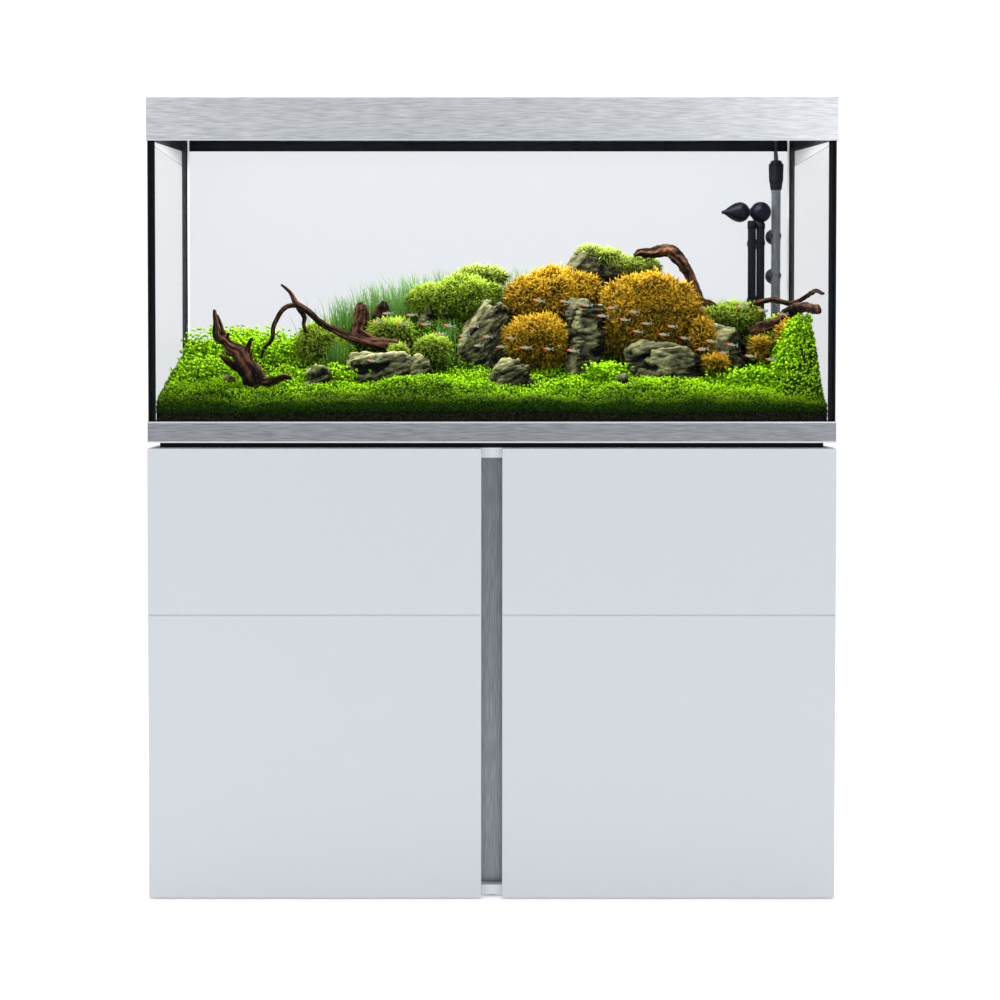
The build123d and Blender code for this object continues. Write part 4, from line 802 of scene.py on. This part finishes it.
def hewn(name, corners, cell, chips, wear, finish, seed, dark, pale):
    """A stone: the hull of its corners, chipped by flat cuts, then worn along its beds."""
    form = bmesh.new()
    for corner in corners:
        form.verts.new(corner)
    bmesh.ops.convex_hull(form, input=form.verts)
    bmesh.ops.delete(form, geom=[v for v in form.verts if not v.link_faces], context="VERTS")
    middle = sum((v.co for v in form.verts), Vector()) / len(form.verts)
    picks = random.Random(seed)
    for chip in range(chips):
        way = Vector((picks.uniform(-1, 1), picks.uniform(-1, 0.6), picks.uniform(-0.2, 1))).normalized()
        reach = max((v.co - middle).dot(way) for v in form.verts)
        cut = bmesh.ops.bisect_plane(form, geom=form.verts[:] + form.edges[:] + form.faces[:],
                                     clear_outer=True, plane_no=way,
                                     plane_co=middle + way * reach * picks.uniform(0.74, 0.93))
        rim = [e for e in cut["geom_cut"] if isinstance(e, bmesh.types.BMEdge)]
        bmesh.ops.contextual_create(form, geom=rim)
    mesh = settled(name, form)
    piece = made(name, mesh, finish)
    remesh = piece.modifiers.new("cells", "REMESH")
    remesh.mode = "VOXEL"
    remesh.voxel_size = cell
    bpy.context.view_layer.update()
    shaped = bpy.data.meshes.new_from_object(piece.evaluated_get(bpy.context.evaluated_depsgraph_get()))
    piece.modifiers.clear()
    piece.data = shaped
    bpy.data.meshes.remove(mesh)
    beds = Vector((picks.uniform(-0.7, 0.1), picks.uniform(-0.5, 0.2), 1.0)).normalized()
    start = Vector((seed * 3.1, seed * 1.7, seed * 0.9))
    places, tones = [], []
    for vert in shaped.vertices:
        place, out = vert.co.copy(), vert.normal.copy()
        flat = place + beds * place.dot(beds) * 3.2
        large = noise.noise(place * 16 + start)
        split = noise.ridged_multi_fractal(flat * 17 + start, 0.9, 2.2, 3, 1.0, 2.0)
        fine = noise.fractal(flat * 55 + start, 0.8, 2.1, 3)
        crack = max(0.0, 0.95 - split)
        places.append(place + out * wear * (0.7 * large - 1.5 * crack + 0.34 * fine))
        # Painted light and shade: faces turned up and to the left are lighter and the cracks darker; the
        # noise adds the stone's own tone.
        light = 0.30 + 0.46 * out.z - 0.20 * out.x + 0.42 * fine - 1.0 * crack + 0.26 * large
        tones.append(min(1.0, max(0.0, light)))
    mixed = [[dark[k] + (pale[k] - dark[k]) * tone ** 1.9 for k in range(3)] + [1.0] for tone in tones]
    shaped.vertices.foreach_set("co", [c for place in places for c in place])
    tinted(shaped, mixed)
    shaped.update()
    return piece


stone = leaf_finish("layered_stone", 0.78)


def weathered(finish, scale, strength):
    """Gives a finish fine relief."""
    tree = finish.node_tree
    grit = tree.nodes.new("ShaderNodeTexNoise")
    grit.inputs["Scale"].default_value = scale
    grit.inputs["Detail"].default_value = 8
    relief = tree.nodes.new("ShaderNodeBump")
    relief.inputs["Strength"].default_value = strength
    relief.inputs["Distance"].default_value = 0.003
    tree.links.new(tree.nodes["Texture Coordinate"].outputs["Object"], grit.inputs["Vector"])
    tree.links.new(grit.outputs["Fac"], relief.inputs["Height"])
    tree.links.new(relief.outputs["Normal"], tree.nodes["Principled BSDF"].inputs["Normal"])


weathered(stone, 240, 0.8)
stones = []
for number, corners in enumerate(islands("rocks")):
    stones.append(hewn(f"stone_{number}", corners, 0.0036, 13, 0.0075, stone, number + 1,
                       (0.006, 0.007, 0.005), (0.48, 0.47, 0.22)))
# flatter pieces leaned against them: brightness, front and back, then the outline across and up
LEANED = [
    (0.30, 0.090, 0.165, [
        (0.141, 1.195), (0.152, 1.222), (0.168, 1.243), (0.189, 1.252), (0.230, 1.246), (0.262, 1.226),
        (0.274, 1.196), (0.255, 1.140), (0.220, 1.120), (0.160, 1.120)]),
    (0.34, 0.010, 0.060, [
        (0.146, 1.140), (0.163, 1.150), (0.200, 1.146), (0.224, 1.122), (0.232, 1.080), (0.230, 0.990),
        (0.158, 0.985), (0.150, 1.080)]),
    (0.38, 0.015, 0.060, [
        (0.430, 1.085), (0.451, 1.104), (0.494, 1.099), (0.518, 1.078), (0.524, 1.036), (0.512, 0.995),
        (0.457, 0.990), (0.432, 1.030)]),
    (0.34, -0.045, 0.010, [
        (0.272, 1.046), (0.284, 1.058), (0.340, 1.066), (0.400, 1.052), (0.450, 1.012), (0.421, 0.980),
        (0.300, 0.980), (0.272, 1.010)]),
    (0.62, -0.075, -0.025, [
        (-0.290, 1.006), (-0.276, 1.026), (-0.249, 1.031), (-0.189, 1.037), (-0.158, 1.039),
        (-0.138, 1.018), (-0.179, 0.985), (-0.259, 0.980)]),
    (0.50, -0.070, -0.030, [
        (-0.370, 0.994), (-0.356, 1.010), (-0.308, 1.008), (-0.296, 0.992), (-0.338, 0.970)]),
]
for number, (bright, front, back, outline) in enumerate(LEANED):
    corners = [Vector((x, y, z)) for x, z in outline for y in (front, back)]
    stones.append(hewn(f"leaned_stone_{number}", corners, 0.0036, 9, 0.0080, stone, number + 31,
                       (0.005, 0.006, 0.005), (bright, bright * 0.99, bright * 0.5)))
stone_pile = joined("stones", stones)
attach(stone_pile, "aquarium")
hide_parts("rocks")

# ------------------------------------------------------------------ driftwood
# Dark water-logged root wood: a forked stump on the left, a long branch lying over the
# planting, an arch over the tallest stones and two limbs that reach the right-hand pane.
wood = leaf_finish("root_wood", 0.62)
weathered(wood, 170, 0.9)
# x, y, z and radius along each limb
LIMBS = [
    [(-0.452, -0.110, 0.957, 0.0190), (-0.455, -0.110, 0.974, 0.0210), (-0.480, -0.110, 1.018, 0.0180),
     (-0.492, -0.108, 1.039, 0.0150), (-0.515, -0.105, 1.057, 0.0105), (-0.531, -0.103, 1.067, 0.0080),
     (-0.536, -0.100, 1.099, 0.0050), (-0.539, -0.100, 1.118, 0.0032), (-0.539, -0.100, 1.122, 0.0026)],
    [(-0.514, -0.100, 1.061, 0.0050), (-0.525, -0.098, 1.087, 0.0034), (-0.534, -0.097, 1.112, 0.0018)],
    [(-0.515, -0.108, 1.059, 0.0040), (-0.510, -0.110, 1.077, 0.0020)],
    [(-0.471, -0.112, 1.012, 0.0090), (-0.476, -0.114, 1.033, 0.0065), (-0.471, -0.116, 1.052, 0.0045),
     (-0.465, -0.118, 1.067, 0.0026)],
    [(-0.475, -0.115, 0.998, 0.0100), (-0.491, -0.120, 1.008, 0.0075), (-0.509, -0.125, 1.019, 0.0055),
     (-0.525, -0.130, 1.033, 0.0024)],
    [(-0.459, -0.118, 0.973, 0.0110), (-0.443, -0.122, 0.977, 0.0085), (-0.422, -0.126, 0.983, 0.0075),
     (-0.400, -0.130, 0.990, 0.0055), (-0.387, -0.132, 0.990, 0.0025)],
    [(-0.420, 0.024, 1.176, 0.0022), (-0.404, 0.022, 1.162, 0.0036), (-0.386, 0.018, 1.136, 0.0058),
     (-0.364, 0.014, 1.121, 0.0060), (-0.341, 0.010, 1.099, 0.0064), (-0.317, 0.004, 1.086, 0.0068),
     (-0.290, 0.000, 1.074, 0.0076), (-0.255, -0.004, 1.064, 0.0094), (-0.224, -0.006, 1.056, 0.0115),
     (-0.193, -0.006, 1.049, 0.0135), (-0.165, -0.004, 1.042, 0.0120)],
    [(-0.260, -0.012, 1.085, 0.0024), (-0.247, -0.008, 1.074, 0.0042), (-0.229, -0.006, 1.064, 0.0050)],
    [(-0.387, 0.018, 1.135, 0.0050), (-0.407, 0.020, 1.132, 0.0046), (-0.423, 0.022, 1.119, 0.0043),
     (-0.435, 0.026, 1.096, 0.0040), (-0.442, 0.034, 1.065, 0.0037), (-0.456, 0.042, 1.049, 0.0032),
     (-0.465, 0.050, 1.028, 0.0026)],
    [(-0.386, 0.018, 1.134, 0.0052), (-0.374, 0.020, 1.111, 0.0044), (-0.375, 0.022, 1.096, 0.0039),
     (-0.369, 0.024, 1.079, 0.0030)],
    [(0.298, 0.100, 1.238, 0.0040), (0.312, 0.099, 1.245, 0.0075), (0.328, 0.098, 1.246, 0.0100),
     (0.350, 0.096, 1.248, 0.0122), (0.370, 0.094, 1.246, 0.0130), (0.385, 0.092, 1.235, 0.0124),
     (0.399, 0.090, 1.218, 0.0110), (0.416, 0.086, 1.183, 0.0090), (0.433, 0.082, 1.147, 0.0080),
     (0.451, 0.079, 1.138, 0.0070), (0.470, 0.076, 1.128, 0.0066), (0.489, 0.073, 1.121, 0.0060),
     (0.512, 0.070, 1.121, 0.0058), (0.531, 0.067, 1.132, 0.0054), (0.550, 0.063, 1.141, 0.0050),
     (0.573, 0.058, 1.147, 0.0054), (0.592, 0.052, 1.142, 0.0050), (0.612, 0.042, 1.139, 0.0048),
     (0.628, 0.022, 1.146, 0.0042), (0.629, -0.058, 1.153, 0.0040), (0.628, -0.128, 1.157, 0.0038),
     (0.629, -0.186, 1.150, 0.0030), (0.629, -0.203, 1.149, 0.0020)],
    [(0.525, 0.030, 1.077, 0.0120), (0.543, 0.030, 1.086, 0.0130), (0.569, 0.030, 1.095, 0.0125),
     (0.588, 0.030, 1.104, 0.0120), (0.601, 0.026, 1.118, 0.0110), (0.612, 0.010, 1.126, 0.0100),
     (0.617, -0.075, 1.127, 0.0090), (0.620, -0.170, 1.121, 0.0080), (0.620, -0.200, 1.116, 0.0060)],
    [(-0.265, 0.060, 1.060, 0.0140), (-0.263, 0.060, 1.100, 0.0150), (-0.262, 0.060, 1.127, 0.0125),
     (-0.265, 0.060, 1.141, 0.0060)],
    [(-0.224, 0.064, 1.060, 0.0150), (-0.222, 0.064, 1.100, 0.0165), (-0.219, 0.064, 1.127, 0.0135),
     (-0.216, 0.064, 1.144, 0.0050)],
]
ROUND = 28
SAMPLE = 0.0022


def grown(name, limb, seed):
    """A limb: a tube along its points, twisted, furrowed and knotted, closed at both ends."""
    points = [Vector(p[:3]) for p in limb]
    padded = [2 * points[0] - points[1]] + points + [2 * points[-1] - points[-2]]
    radii = [p[3] for p in limb]
    line = []
    for i in range(len(points) - 1):
        a, b, c, d = padded[i:i + 4]
        steps = max(2, int((c - b).length / SAMPLE))
        for step in range(steps):
            t = step / steps
            place = 0.5 * (2 * b + (c - a) * t + (2 * a - 5 * b + 4 * c - d) * t * t
                           + (3 * b - a - 3 * c + d) * t ** 3)
            line.append((place, radii[i] + (radii[i + 1] - radii[i]) * eased(t)))
    line.append((points[-1], radii[-1]))
    form = bmesh.new()
    rings, tones = [], []
    across = Vector((0.0, 1.0, 0.02))
    run = 0.0
    for i, (place, radius) in enumerate(line):
        heading = (line[min(i + 1, len(line) - 1)][0] - line[max(i - 1, 0)][0]).normalized()
        across = (across - heading * across.dot(heading)).normalized()
        other = heading.cross(across)
        run += (place - line[max(i - 1, 0)][0]).length
        sway = noise.noise_vector(place * 38 + Vector((seed, 0, 0))) * radius * 0.35
        ring = []
        for j in range(ROUND):
            turn = 2 * math.pi * j / ROUND
            out = across * math.cos(turn) + other * math.sin(turn)
            along = out * 1.9 + heading * (run * 16 + seed)
            furrow = noise.ridged_multi_fractal(along, 1.0, 2.0, 3, 1.0, 2.0)
            knot = noise.noise(place * 60 + out * 0.8)
            reach = radius * (0.80 + 0.24 * min(1.6, furrow) + 0.30 * knot)
            ring.append(form.verts.new(place + sway + out * reach))
            grain = Vector((math.cos(turn) * 2.6, math.sin(turn) * 2.6, run * 14 + seed * 5))
            streak = noise.fractal(grain, 0.7, 2.2, 4)
            # The streaks are the wood's own grain; the darker furrows and the lighter upper side are painted
            # shade and painted light.
            tone = min(1.0, max(0.0, 0.14 + 1.35 * streak + 0.40 * (furrow - 1.0) + 0.30 * out.z)) ** 1.7
            tones.append((0.005 + 0.19 * tone, 0.004 + 0.082 * tone, 0.003 + 0.044 * tone, 1.0))
        rings.append(ring)
    skinned(form, rings)
    mesh = settled(name, form)
    tinted(mesh, tones)
    return made(name, mesh, wood, smooth=True)


limbs = [grown(f"limb_{number}", limb, number * 1.7) for number, limb in enumerate(LIMBS)]
driftwood = joined("driftwood_limbs", limbs)
for vert in driftwood.data.vertices:
    vert.co.x = min(vert.co.x, BED_X + 0.002)
    vert.co.y = max(vert.co.y, -BED_Y - 0.002)
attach(driftwood, "aquarium")
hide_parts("driftwood")

# ------------------------------------------------------------------ moss
# Bushes and cushions of moss tied over the stones: amber ones on the right and in the
# middle, green ones between them. Each is a rounded core covered in fine bent sprigs.
# The cores are coloured dark: painted shade in the gaps between the sprigs.
amber_shade_core = coat("amber_shade_core", (0.02, 0.016, 0.004), 0.9, 220, shine=0.05, bump=0.8, depth=0.003,
                  colours=((0.008, 0.008, 0.001), (0.10, 0.065, 0.006)))
green_shade_core = coat("green_shade_core", (0.01, 0.02, 0.004), 0.9, 220, shine=0.05, bump=0.8, depth=0.003,
                  colours=((0.004, 0.010, 0.001), (0.055, 0.095, 0.008)))
moss_leaf = leaf_finish("moss_leaf", 0.6)
# middle, half sizes, kind
MOUNDS = [
    ((-0.350, 0.062, 1.056), (0.040, 0.036, 0.042), "green"),
    ((-0.202, 0.050, 1.079), (0.047, 0.034, 0.026), "green"),
    ((-0.181, -0.030, 1.036), (0.015, 0.014, 0.014), "green"),
    ((-0.114, 0.000, 1.046), (0.034, 0.030, 0.022), "green"),
    ((-0.049, 0.095, 1.160), (0.073, 0.050, 0.034), "green"),
    ((-0.019, 0.130, 1.196), (0.056, 0.040, 0.018), "pale"),
    ((-0.125, 0.120, 1.150), (0.040, 0.030, 0.026), "green"),
    ((0.306, 0.125, 1.211), (0.050, 0.034, 0.024), "pale"),
    ((0.268, 0.122, 1.218), (0.036, 0.034, 0.020), "pale"),
    ((0.240, 0.118, 1.236), (0.034, 0.038, 0.013), "pale"),
    ((0.206, 0.120, 1.246), (0.024, 0.032, 0.008), "pale"),
    ((0.497, 0.080, 1.110), (0.067, 0.044, 0.027), "green"),
    ((0.130, 0.090, 1.148), (0.103, 0.058, 0.062), "amber"),
    ((0.096, 0.018, 1.067), (0.063, 0.042, 0.045), "amber"),
    ((0.331, 0.035, 1.120), (0.108, 0.064, 0.075), "amber"),
    ((0.424, -0.010, 1.066), (0.017, 0.020, 0.040), "amber"),
    ((0.446, -0.050, 1.016), (0.020, 0.012, 0.011), "amber"),
    ((0.600, 0.000, 1.075), (0.017, 0.020, 0.021), "amber"),
    ((0.540, -0.010, 1.050), (0.013, 0.012, 0.012), "amber"),
    ((0.560, 0.040, 1.060), (0.034, 0.026, 0.022), "green"),
]
# kind: core, dark and bright tint, length, width
MOSSES = {
    "amber": (amber_shade_core, (0.045, 0.040, 0.002), (0.62, 0.37, 0.020), (0.007, 0.014), (0.0011, 0.0019)),
    "green": (green_shade_core, (0.030, 0.060, 0.003), (0.38, 0.54, 0.045), (0.005, 0.012), (0.0008, 0.0015)),
    "pale": (green_shade_core, (0.060, 0.090, 0.012), (0.38, 0.48, 0.07), (0.005, 0.011), (0.0008, 0.0015)),
}
for kind, (core, low_tint, high_tint, long, wide) in MOSSES.items():
    cores, starts, ways, lights = [], [], [], []
    for number, (centre, half, mound_kind) in enumerate(MOUNDS):
        if mound_kind != kind:
            continue
        form = bmesh.new()
        bmesh.ops.create_icosphere(form, subdivisions=4, radius=1.0)
        spots = [vert.co.normalized() for vert in form.verts]
        amount = int((1500000 if kind == "amber" else 2300000) * half[0] * half[2]) + 400
        spread = draw.normal(size=(amount, 3))
        spread /= np.linalg.norm(spread, axis=1)[:, None]

        def on_mound(way):
            """A point on the mound: lumpy, and drawn down under its middle."""
            swell = 0.86 + 0.24 * noise.fractal(way * 1.8 + Vector(centre) * 9, 0.7, 2.2, 4)
            drop = 1.0 if way.z > 0 else 1.5
            return Vector((centre[0] + way.x * half[0] * swell, centre[1] + way.y * half[1] * swell,
                           centre[2] + way.z * half[2] * swell * drop))

        for vert, way in zip(form.verts, spots):
            vert.co = on_mound(way)
        core_name = f"{kind}_core_{number}"
        cores.append(made(core_name, settled(core_name, form, False), core, smooth=True))
        for spot in spread:
            way = Vector(spot)
            place = on_mound(way)
            starts.append(place)
            ways.append([way[k] / half[k] * 0.045 + draw.normal() * 0.42 for k in range(3)])
            lights.append(0.46 + 0.40 * way.z - 0.12 * way.y + 0.42 * noise.noise(place * 70)
                          + 0.19 * draw.normal())
    moss_cores = joined(f"{kind}_moss_cores", cores)
    total = len(starts)
    lengths = draw.uniform(*long, total) * draw.choice([0.8, 1, 1.5], total)
    sprigs = leaves(f"{kind}_moss_sprigs", starts, ways, lengths, draw.uniform(*wide, total),
                    blend_of(low_tint, high_tint, lights), moss_leaf, 0.35, 0.25)
    for part in (moss_cores, sprigs):
        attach(part, "aquarium")
    if kind == "amber":
        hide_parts("moss")

# ------------------------------------------------------------------ tall grass
# Fine blades behind the stones, lighter towards their tips with painted shade at their foot, and bent over by
# the current.
blade_leaf = leaf_finish("grass_blade", 0.45)
# middle x, y, spread in x, blades, height of the tips
TUFTS = [
    (-0.330, 0.120, 0.035, 170, 1.135), (-0.290, 0.140, 0.045, 320, 1.175),
    (-0.225, 0.150, 0.050, 420, 1.205), (-0.150, 0.160, 0.045, 380, 1.225),
    (-0.085, 0.170, 0.040, 260, 1.235), (-0.310, 0.030, 0.020, 150, 1.075),
    (0.030, 0.180, 0.045, 170, 1.235), (0.090, 0.186, 0.030, 130, 1.240),
    (0.480, 0.130, 0.032, 190, 1.165), (-0.130, 0.020, 0.040, 160, 1.080),
    (-0.090, 0.040, 0.020, 80, 1.120),
]
blade_verts, blade_faces, blade_tones = [], [], []
BLADE_STEPS = 5
for middle_x, middle_y, spread, amount, tips in TUFTS:
    for blade in range(amount):
        x = middle_x + draw.normal(scale=spread * 0.6)
        y = min(0.206, middle_y + draw.normal(scale=0.014))
        z = soil_top(x, y) + 0.008
        height = (tips - z) * draw.uniform(0.45, 1.0)
        lean = Vector((draw.normal(scale=0.13) - 0.03, draw.normal(scale=0.06), 0))
        half = draw.uniform(0.0008, 0.0015)
        side = Vector((math.cos(blade), math.sin(blade) * 0.4, 0)).normalized()
        back = Vector((-side.y, side.x, 0))
        start = len(blade_verts)
        shade = draw.uniform(0.55, 1.15)
        for step in range(BLADE_STEPS):
            high = step / BLADE_STEPS
            spot = Vector((x, y, z)) + lean * height * high ** 2
            spot = spot + Vector((0, 0, height * (high - 0.08 * high ** 3)))
            thin = half * (1 - 0.7 * high)
            # Painted shade: each blade darker towards its foot, lighter towards its tip.
            green = (0.03 + 0.17 * high, 0.12 + 0.32 * high, 0.008 + 0.07 * high)
            for corner in (side * thin, back * thin * 0.5 - side * thin * 0.5,
                           -back * thin * 0.5 - side * thin * 0.5):
                blade_verts.append(spot + corner)
                blade_tones.append([tone * shade for tone in green])
        blade_verts.append(Vector((x, y, z)) + lean * height + Vector((0, 0, height * 0.92)))
        blade_tones.append([0.24 * shade, 0.50 * shade, 0.10 * shade])
        blade_faces.append((start + 2, start + 1, start))
        for step in range(BLADE_STEPS - 1):
            low = start + 3 * step
            for a, b in ((0, 1), (1, 2), (2, 0)):
                blade_faces.append((low + a, low + b, low + 3 + b, low + 3 + a))
        last, tip = start + 3 * (BLADE_STEPS - 1), start + 3 * BLADE_STEPS
        for a, b in ((0, 1), (1, 2), (2, 0)):
            blade_faces.append((last + a, last + b, tip))
grass_mesh = bpy.data.meshes.new("grass_blades")
grass_mesh.from_pydata([tuple(v) for v in blade_verts], [], blade_faces)
tinted(grass_mesh, [(*tone, 1.0) for tone in blade_tones])
grass = made("grass_blades", grass_mesh, blade_leaf)
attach(grass, "aquarium")
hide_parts("tall_grass")

# ------------------------------------------------------------------ fish
# A shoal of small tetras in the open water before the stones, heads to the left: a silvery
# olive body, a red nose, and a clear tail barred black and white.
fish_skin, fish_tree, fish_shader = paint("fish_skin", (0.4, 0.42, 0.34), 0.35, shine=0.3)
fish_tint = fish_tree.nodes.new("ShaderNodeAttribute")
fish_tint.attribute_name = "tint"
fish_tree.links.new(fish_tint.outputs["Color"], fish_shader.inputs["Base Color"])
# distance from the nose in body lengths, half height, half width
BODY = [
    (0.0, 0.010, 0.008), (0.05, 0.045, 0.035), (0.14, 0.075, 0.05), (0.28, 0.095, 0.06),
    (0.45, 0.090, 0.055), (0.60, 0.070, 0.04), (0.70, 0.045, 0.025), (0.77, 0.032, 0.016),
]
SIDES = 8
WHITE, BLACK, PALE = (0.42, 0.42, 0.38), (0.02, 0.02, 0.015), (0.26, 0.30, 0.20)
RED = (0.80, 0.05, 0.02)
# the fins as outlines of (along, up)
FINS = [
    (((0.76, 0.03), (0.90, 0.10), (1.0, 0.14), (0.92, 0.03)), WHITE),
    (((0.76, -0.03), (0.92, -0.03), (1.0, -0.14), (0.90, -0.10)), WHITE),
    (((0.76, -0.02), (0.92, -0.03), (0.95, 0.0), (0.92, 0.03), (0.76, 0.02)), BLACK),
    (((0.38, 0.085), (0.44, 0.165), (0.52, 0.150), (0.54, 0.08)), PALE),
    (((0.50, -0.08), (0.56, -0.150), (0.66, -0.10), (0.68, -0.05)), PALE),
    (((0.30, -0.085), (0.36, -0.14), (0.40, -0.085)), PALE),
]
fish_form = bmesh.new()
fish_layer = fish_form.verts.layers.float_color.new("tint")
for corners in islands("fish"):
    middle = sum(corners, Vector()) / len(corners)
    long = draw.uniform(0.021, 0.026)
    stand = Matrix.Translation(middle) @ Matrix.Rotation(draw.uniform(-0.5, 0.5), 4, "Z")
    stand = stand @ Matrix.Rotation(draw.uniform(-0.14, 0.14), 4, "Y")

    def put(along, up, out, tone):
        vert = fish_form.verts.new(stand @ Vector(((along - 0.45) * long, out * long, up * long)))
        vert[fish_layer] = (*tone, 1.0)
        return vert

    rings = []
    for along, tall, thick in BODY:
        ring = []
        for i in range(SIDES):
            turn = 2 * math.pi * i / SIDES
            up = math.sin(turn)
            flank = (0.30 - 0.14 * up, 0.33 - 0.11 * up, 0.22 - 0.12 * up)
            tone = RED if along < 0.15 else flank
            ring.append(put(along, tall * up, thick * math.cos(turn), tone))
        rings.append(ring)
    skinned(fish_form, rings)
    for outline, tone in FINS:
        near, far = ([put(along, up, out, tone) for along, up in outline] for out in (-0.006, 0.006))
        fish_form.faces.new(near)
        fish_form.faces.new(far[::-1])
        for i in range(len(outline)):
            j = (i + 1) % len(outline)
            fish_form.faces.new((near[j], near[i], far[i], far[j]))
shoal = made("shoal", settled("shoal", fish_form), fish_skin, smooth=True)
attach(shoal, "aquarium")
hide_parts("fish")

# ------------------------------------------------------------------ studio
# A plain pale floor that curves up into a wall behind, and broad soft lights.
stage_mesh = bpy.data.meshes.new("studio_floor")
studio = bmesh.new()
WALL_Y = 7.0
SWEEP = 2.0
profile = [(-8.0, FLOOR), (WALL_Y - SWEEP, FLOOR)]
for step in range(1, 13):
    turn = math.pi / 2 * step / 12
    profile.append((WALL_Y - SWEEP + SWEEP * math.sin(turn), FLOOR + SWEEP * (1 - math.cos(turn))))
profile.append((WALL_Y, 7.0))
rows = [[studio.verts.new((x, y, z - 0.0002)) for y, z in profile] for x in (-10.0, 10.0)]
for i in range(len(profile) - 1):
    studio.faces.new((rows[0][i], rows[1][i], rows[1][i + 1], rows[0][i + 1]))
studio.to_mesh(stage_mesh)
studio.free()
stage_finish, stage_tree, stage_shader = paint("studio_paper", (0.90, 0.90, 0.905), 0.8)
stage_shader.inputs["Emission Color"].default_value = (1.0, 1.0, 1.0, 1)
stage_shader.inputs["Emission Strength"].default_value = 0.22
floor = made("studio_floor", stage_mesh, stage_finish, smooth=True)

bpy.context.scene.view_settings.view_transform = "Standard"
world = bpy.data.worlds.new("studio")
bpy.context.scene.world = world
world.use_nodes = True
sky = world.node_tree.nodes["Background"]
sky.inputs["Color"].default_value = (0.93, 0.96, 1.0, 1)
sky.inputs["Strength"].default_value = 0.75


def softbox(name, place, aim, size, power):
    """A broad area light turned towards a point."""
    lamp = bpy.data.lights.new(name, "AREA")
    lamp.shape = "RECTANGLE"
    lamp.size, lamp.size_y = size
    lamp.energy = power
    box = bpy.data.objects.new(name, lamp)
    box.location = place
    box.rotation_euler = (Vector(aim) - Vector(place)).to_track_quat("-Z", "Y").to_euler()
    bpy.context.scene.collection.objects.link(box)


softbox("under_hood", (0.0, 0.03, 1.468), (0.0, -0.02, 0.9), (1.12, 0.22), 9)
softbox("overhead", (0.0, 0.2, 3.4), (0.0, 0.6, 0.0), (3.2, 2.4), 70)
softbox("left_soft", (-3.0, -2.8, 2.2), (-0.3, 0.0, 0.9), (1.6, 2.4), 48)
softbox("right_soft", (2.3, -3.3, 2.1), (0.5, 0.0, 1.2), (1.2, 2.0), 36)
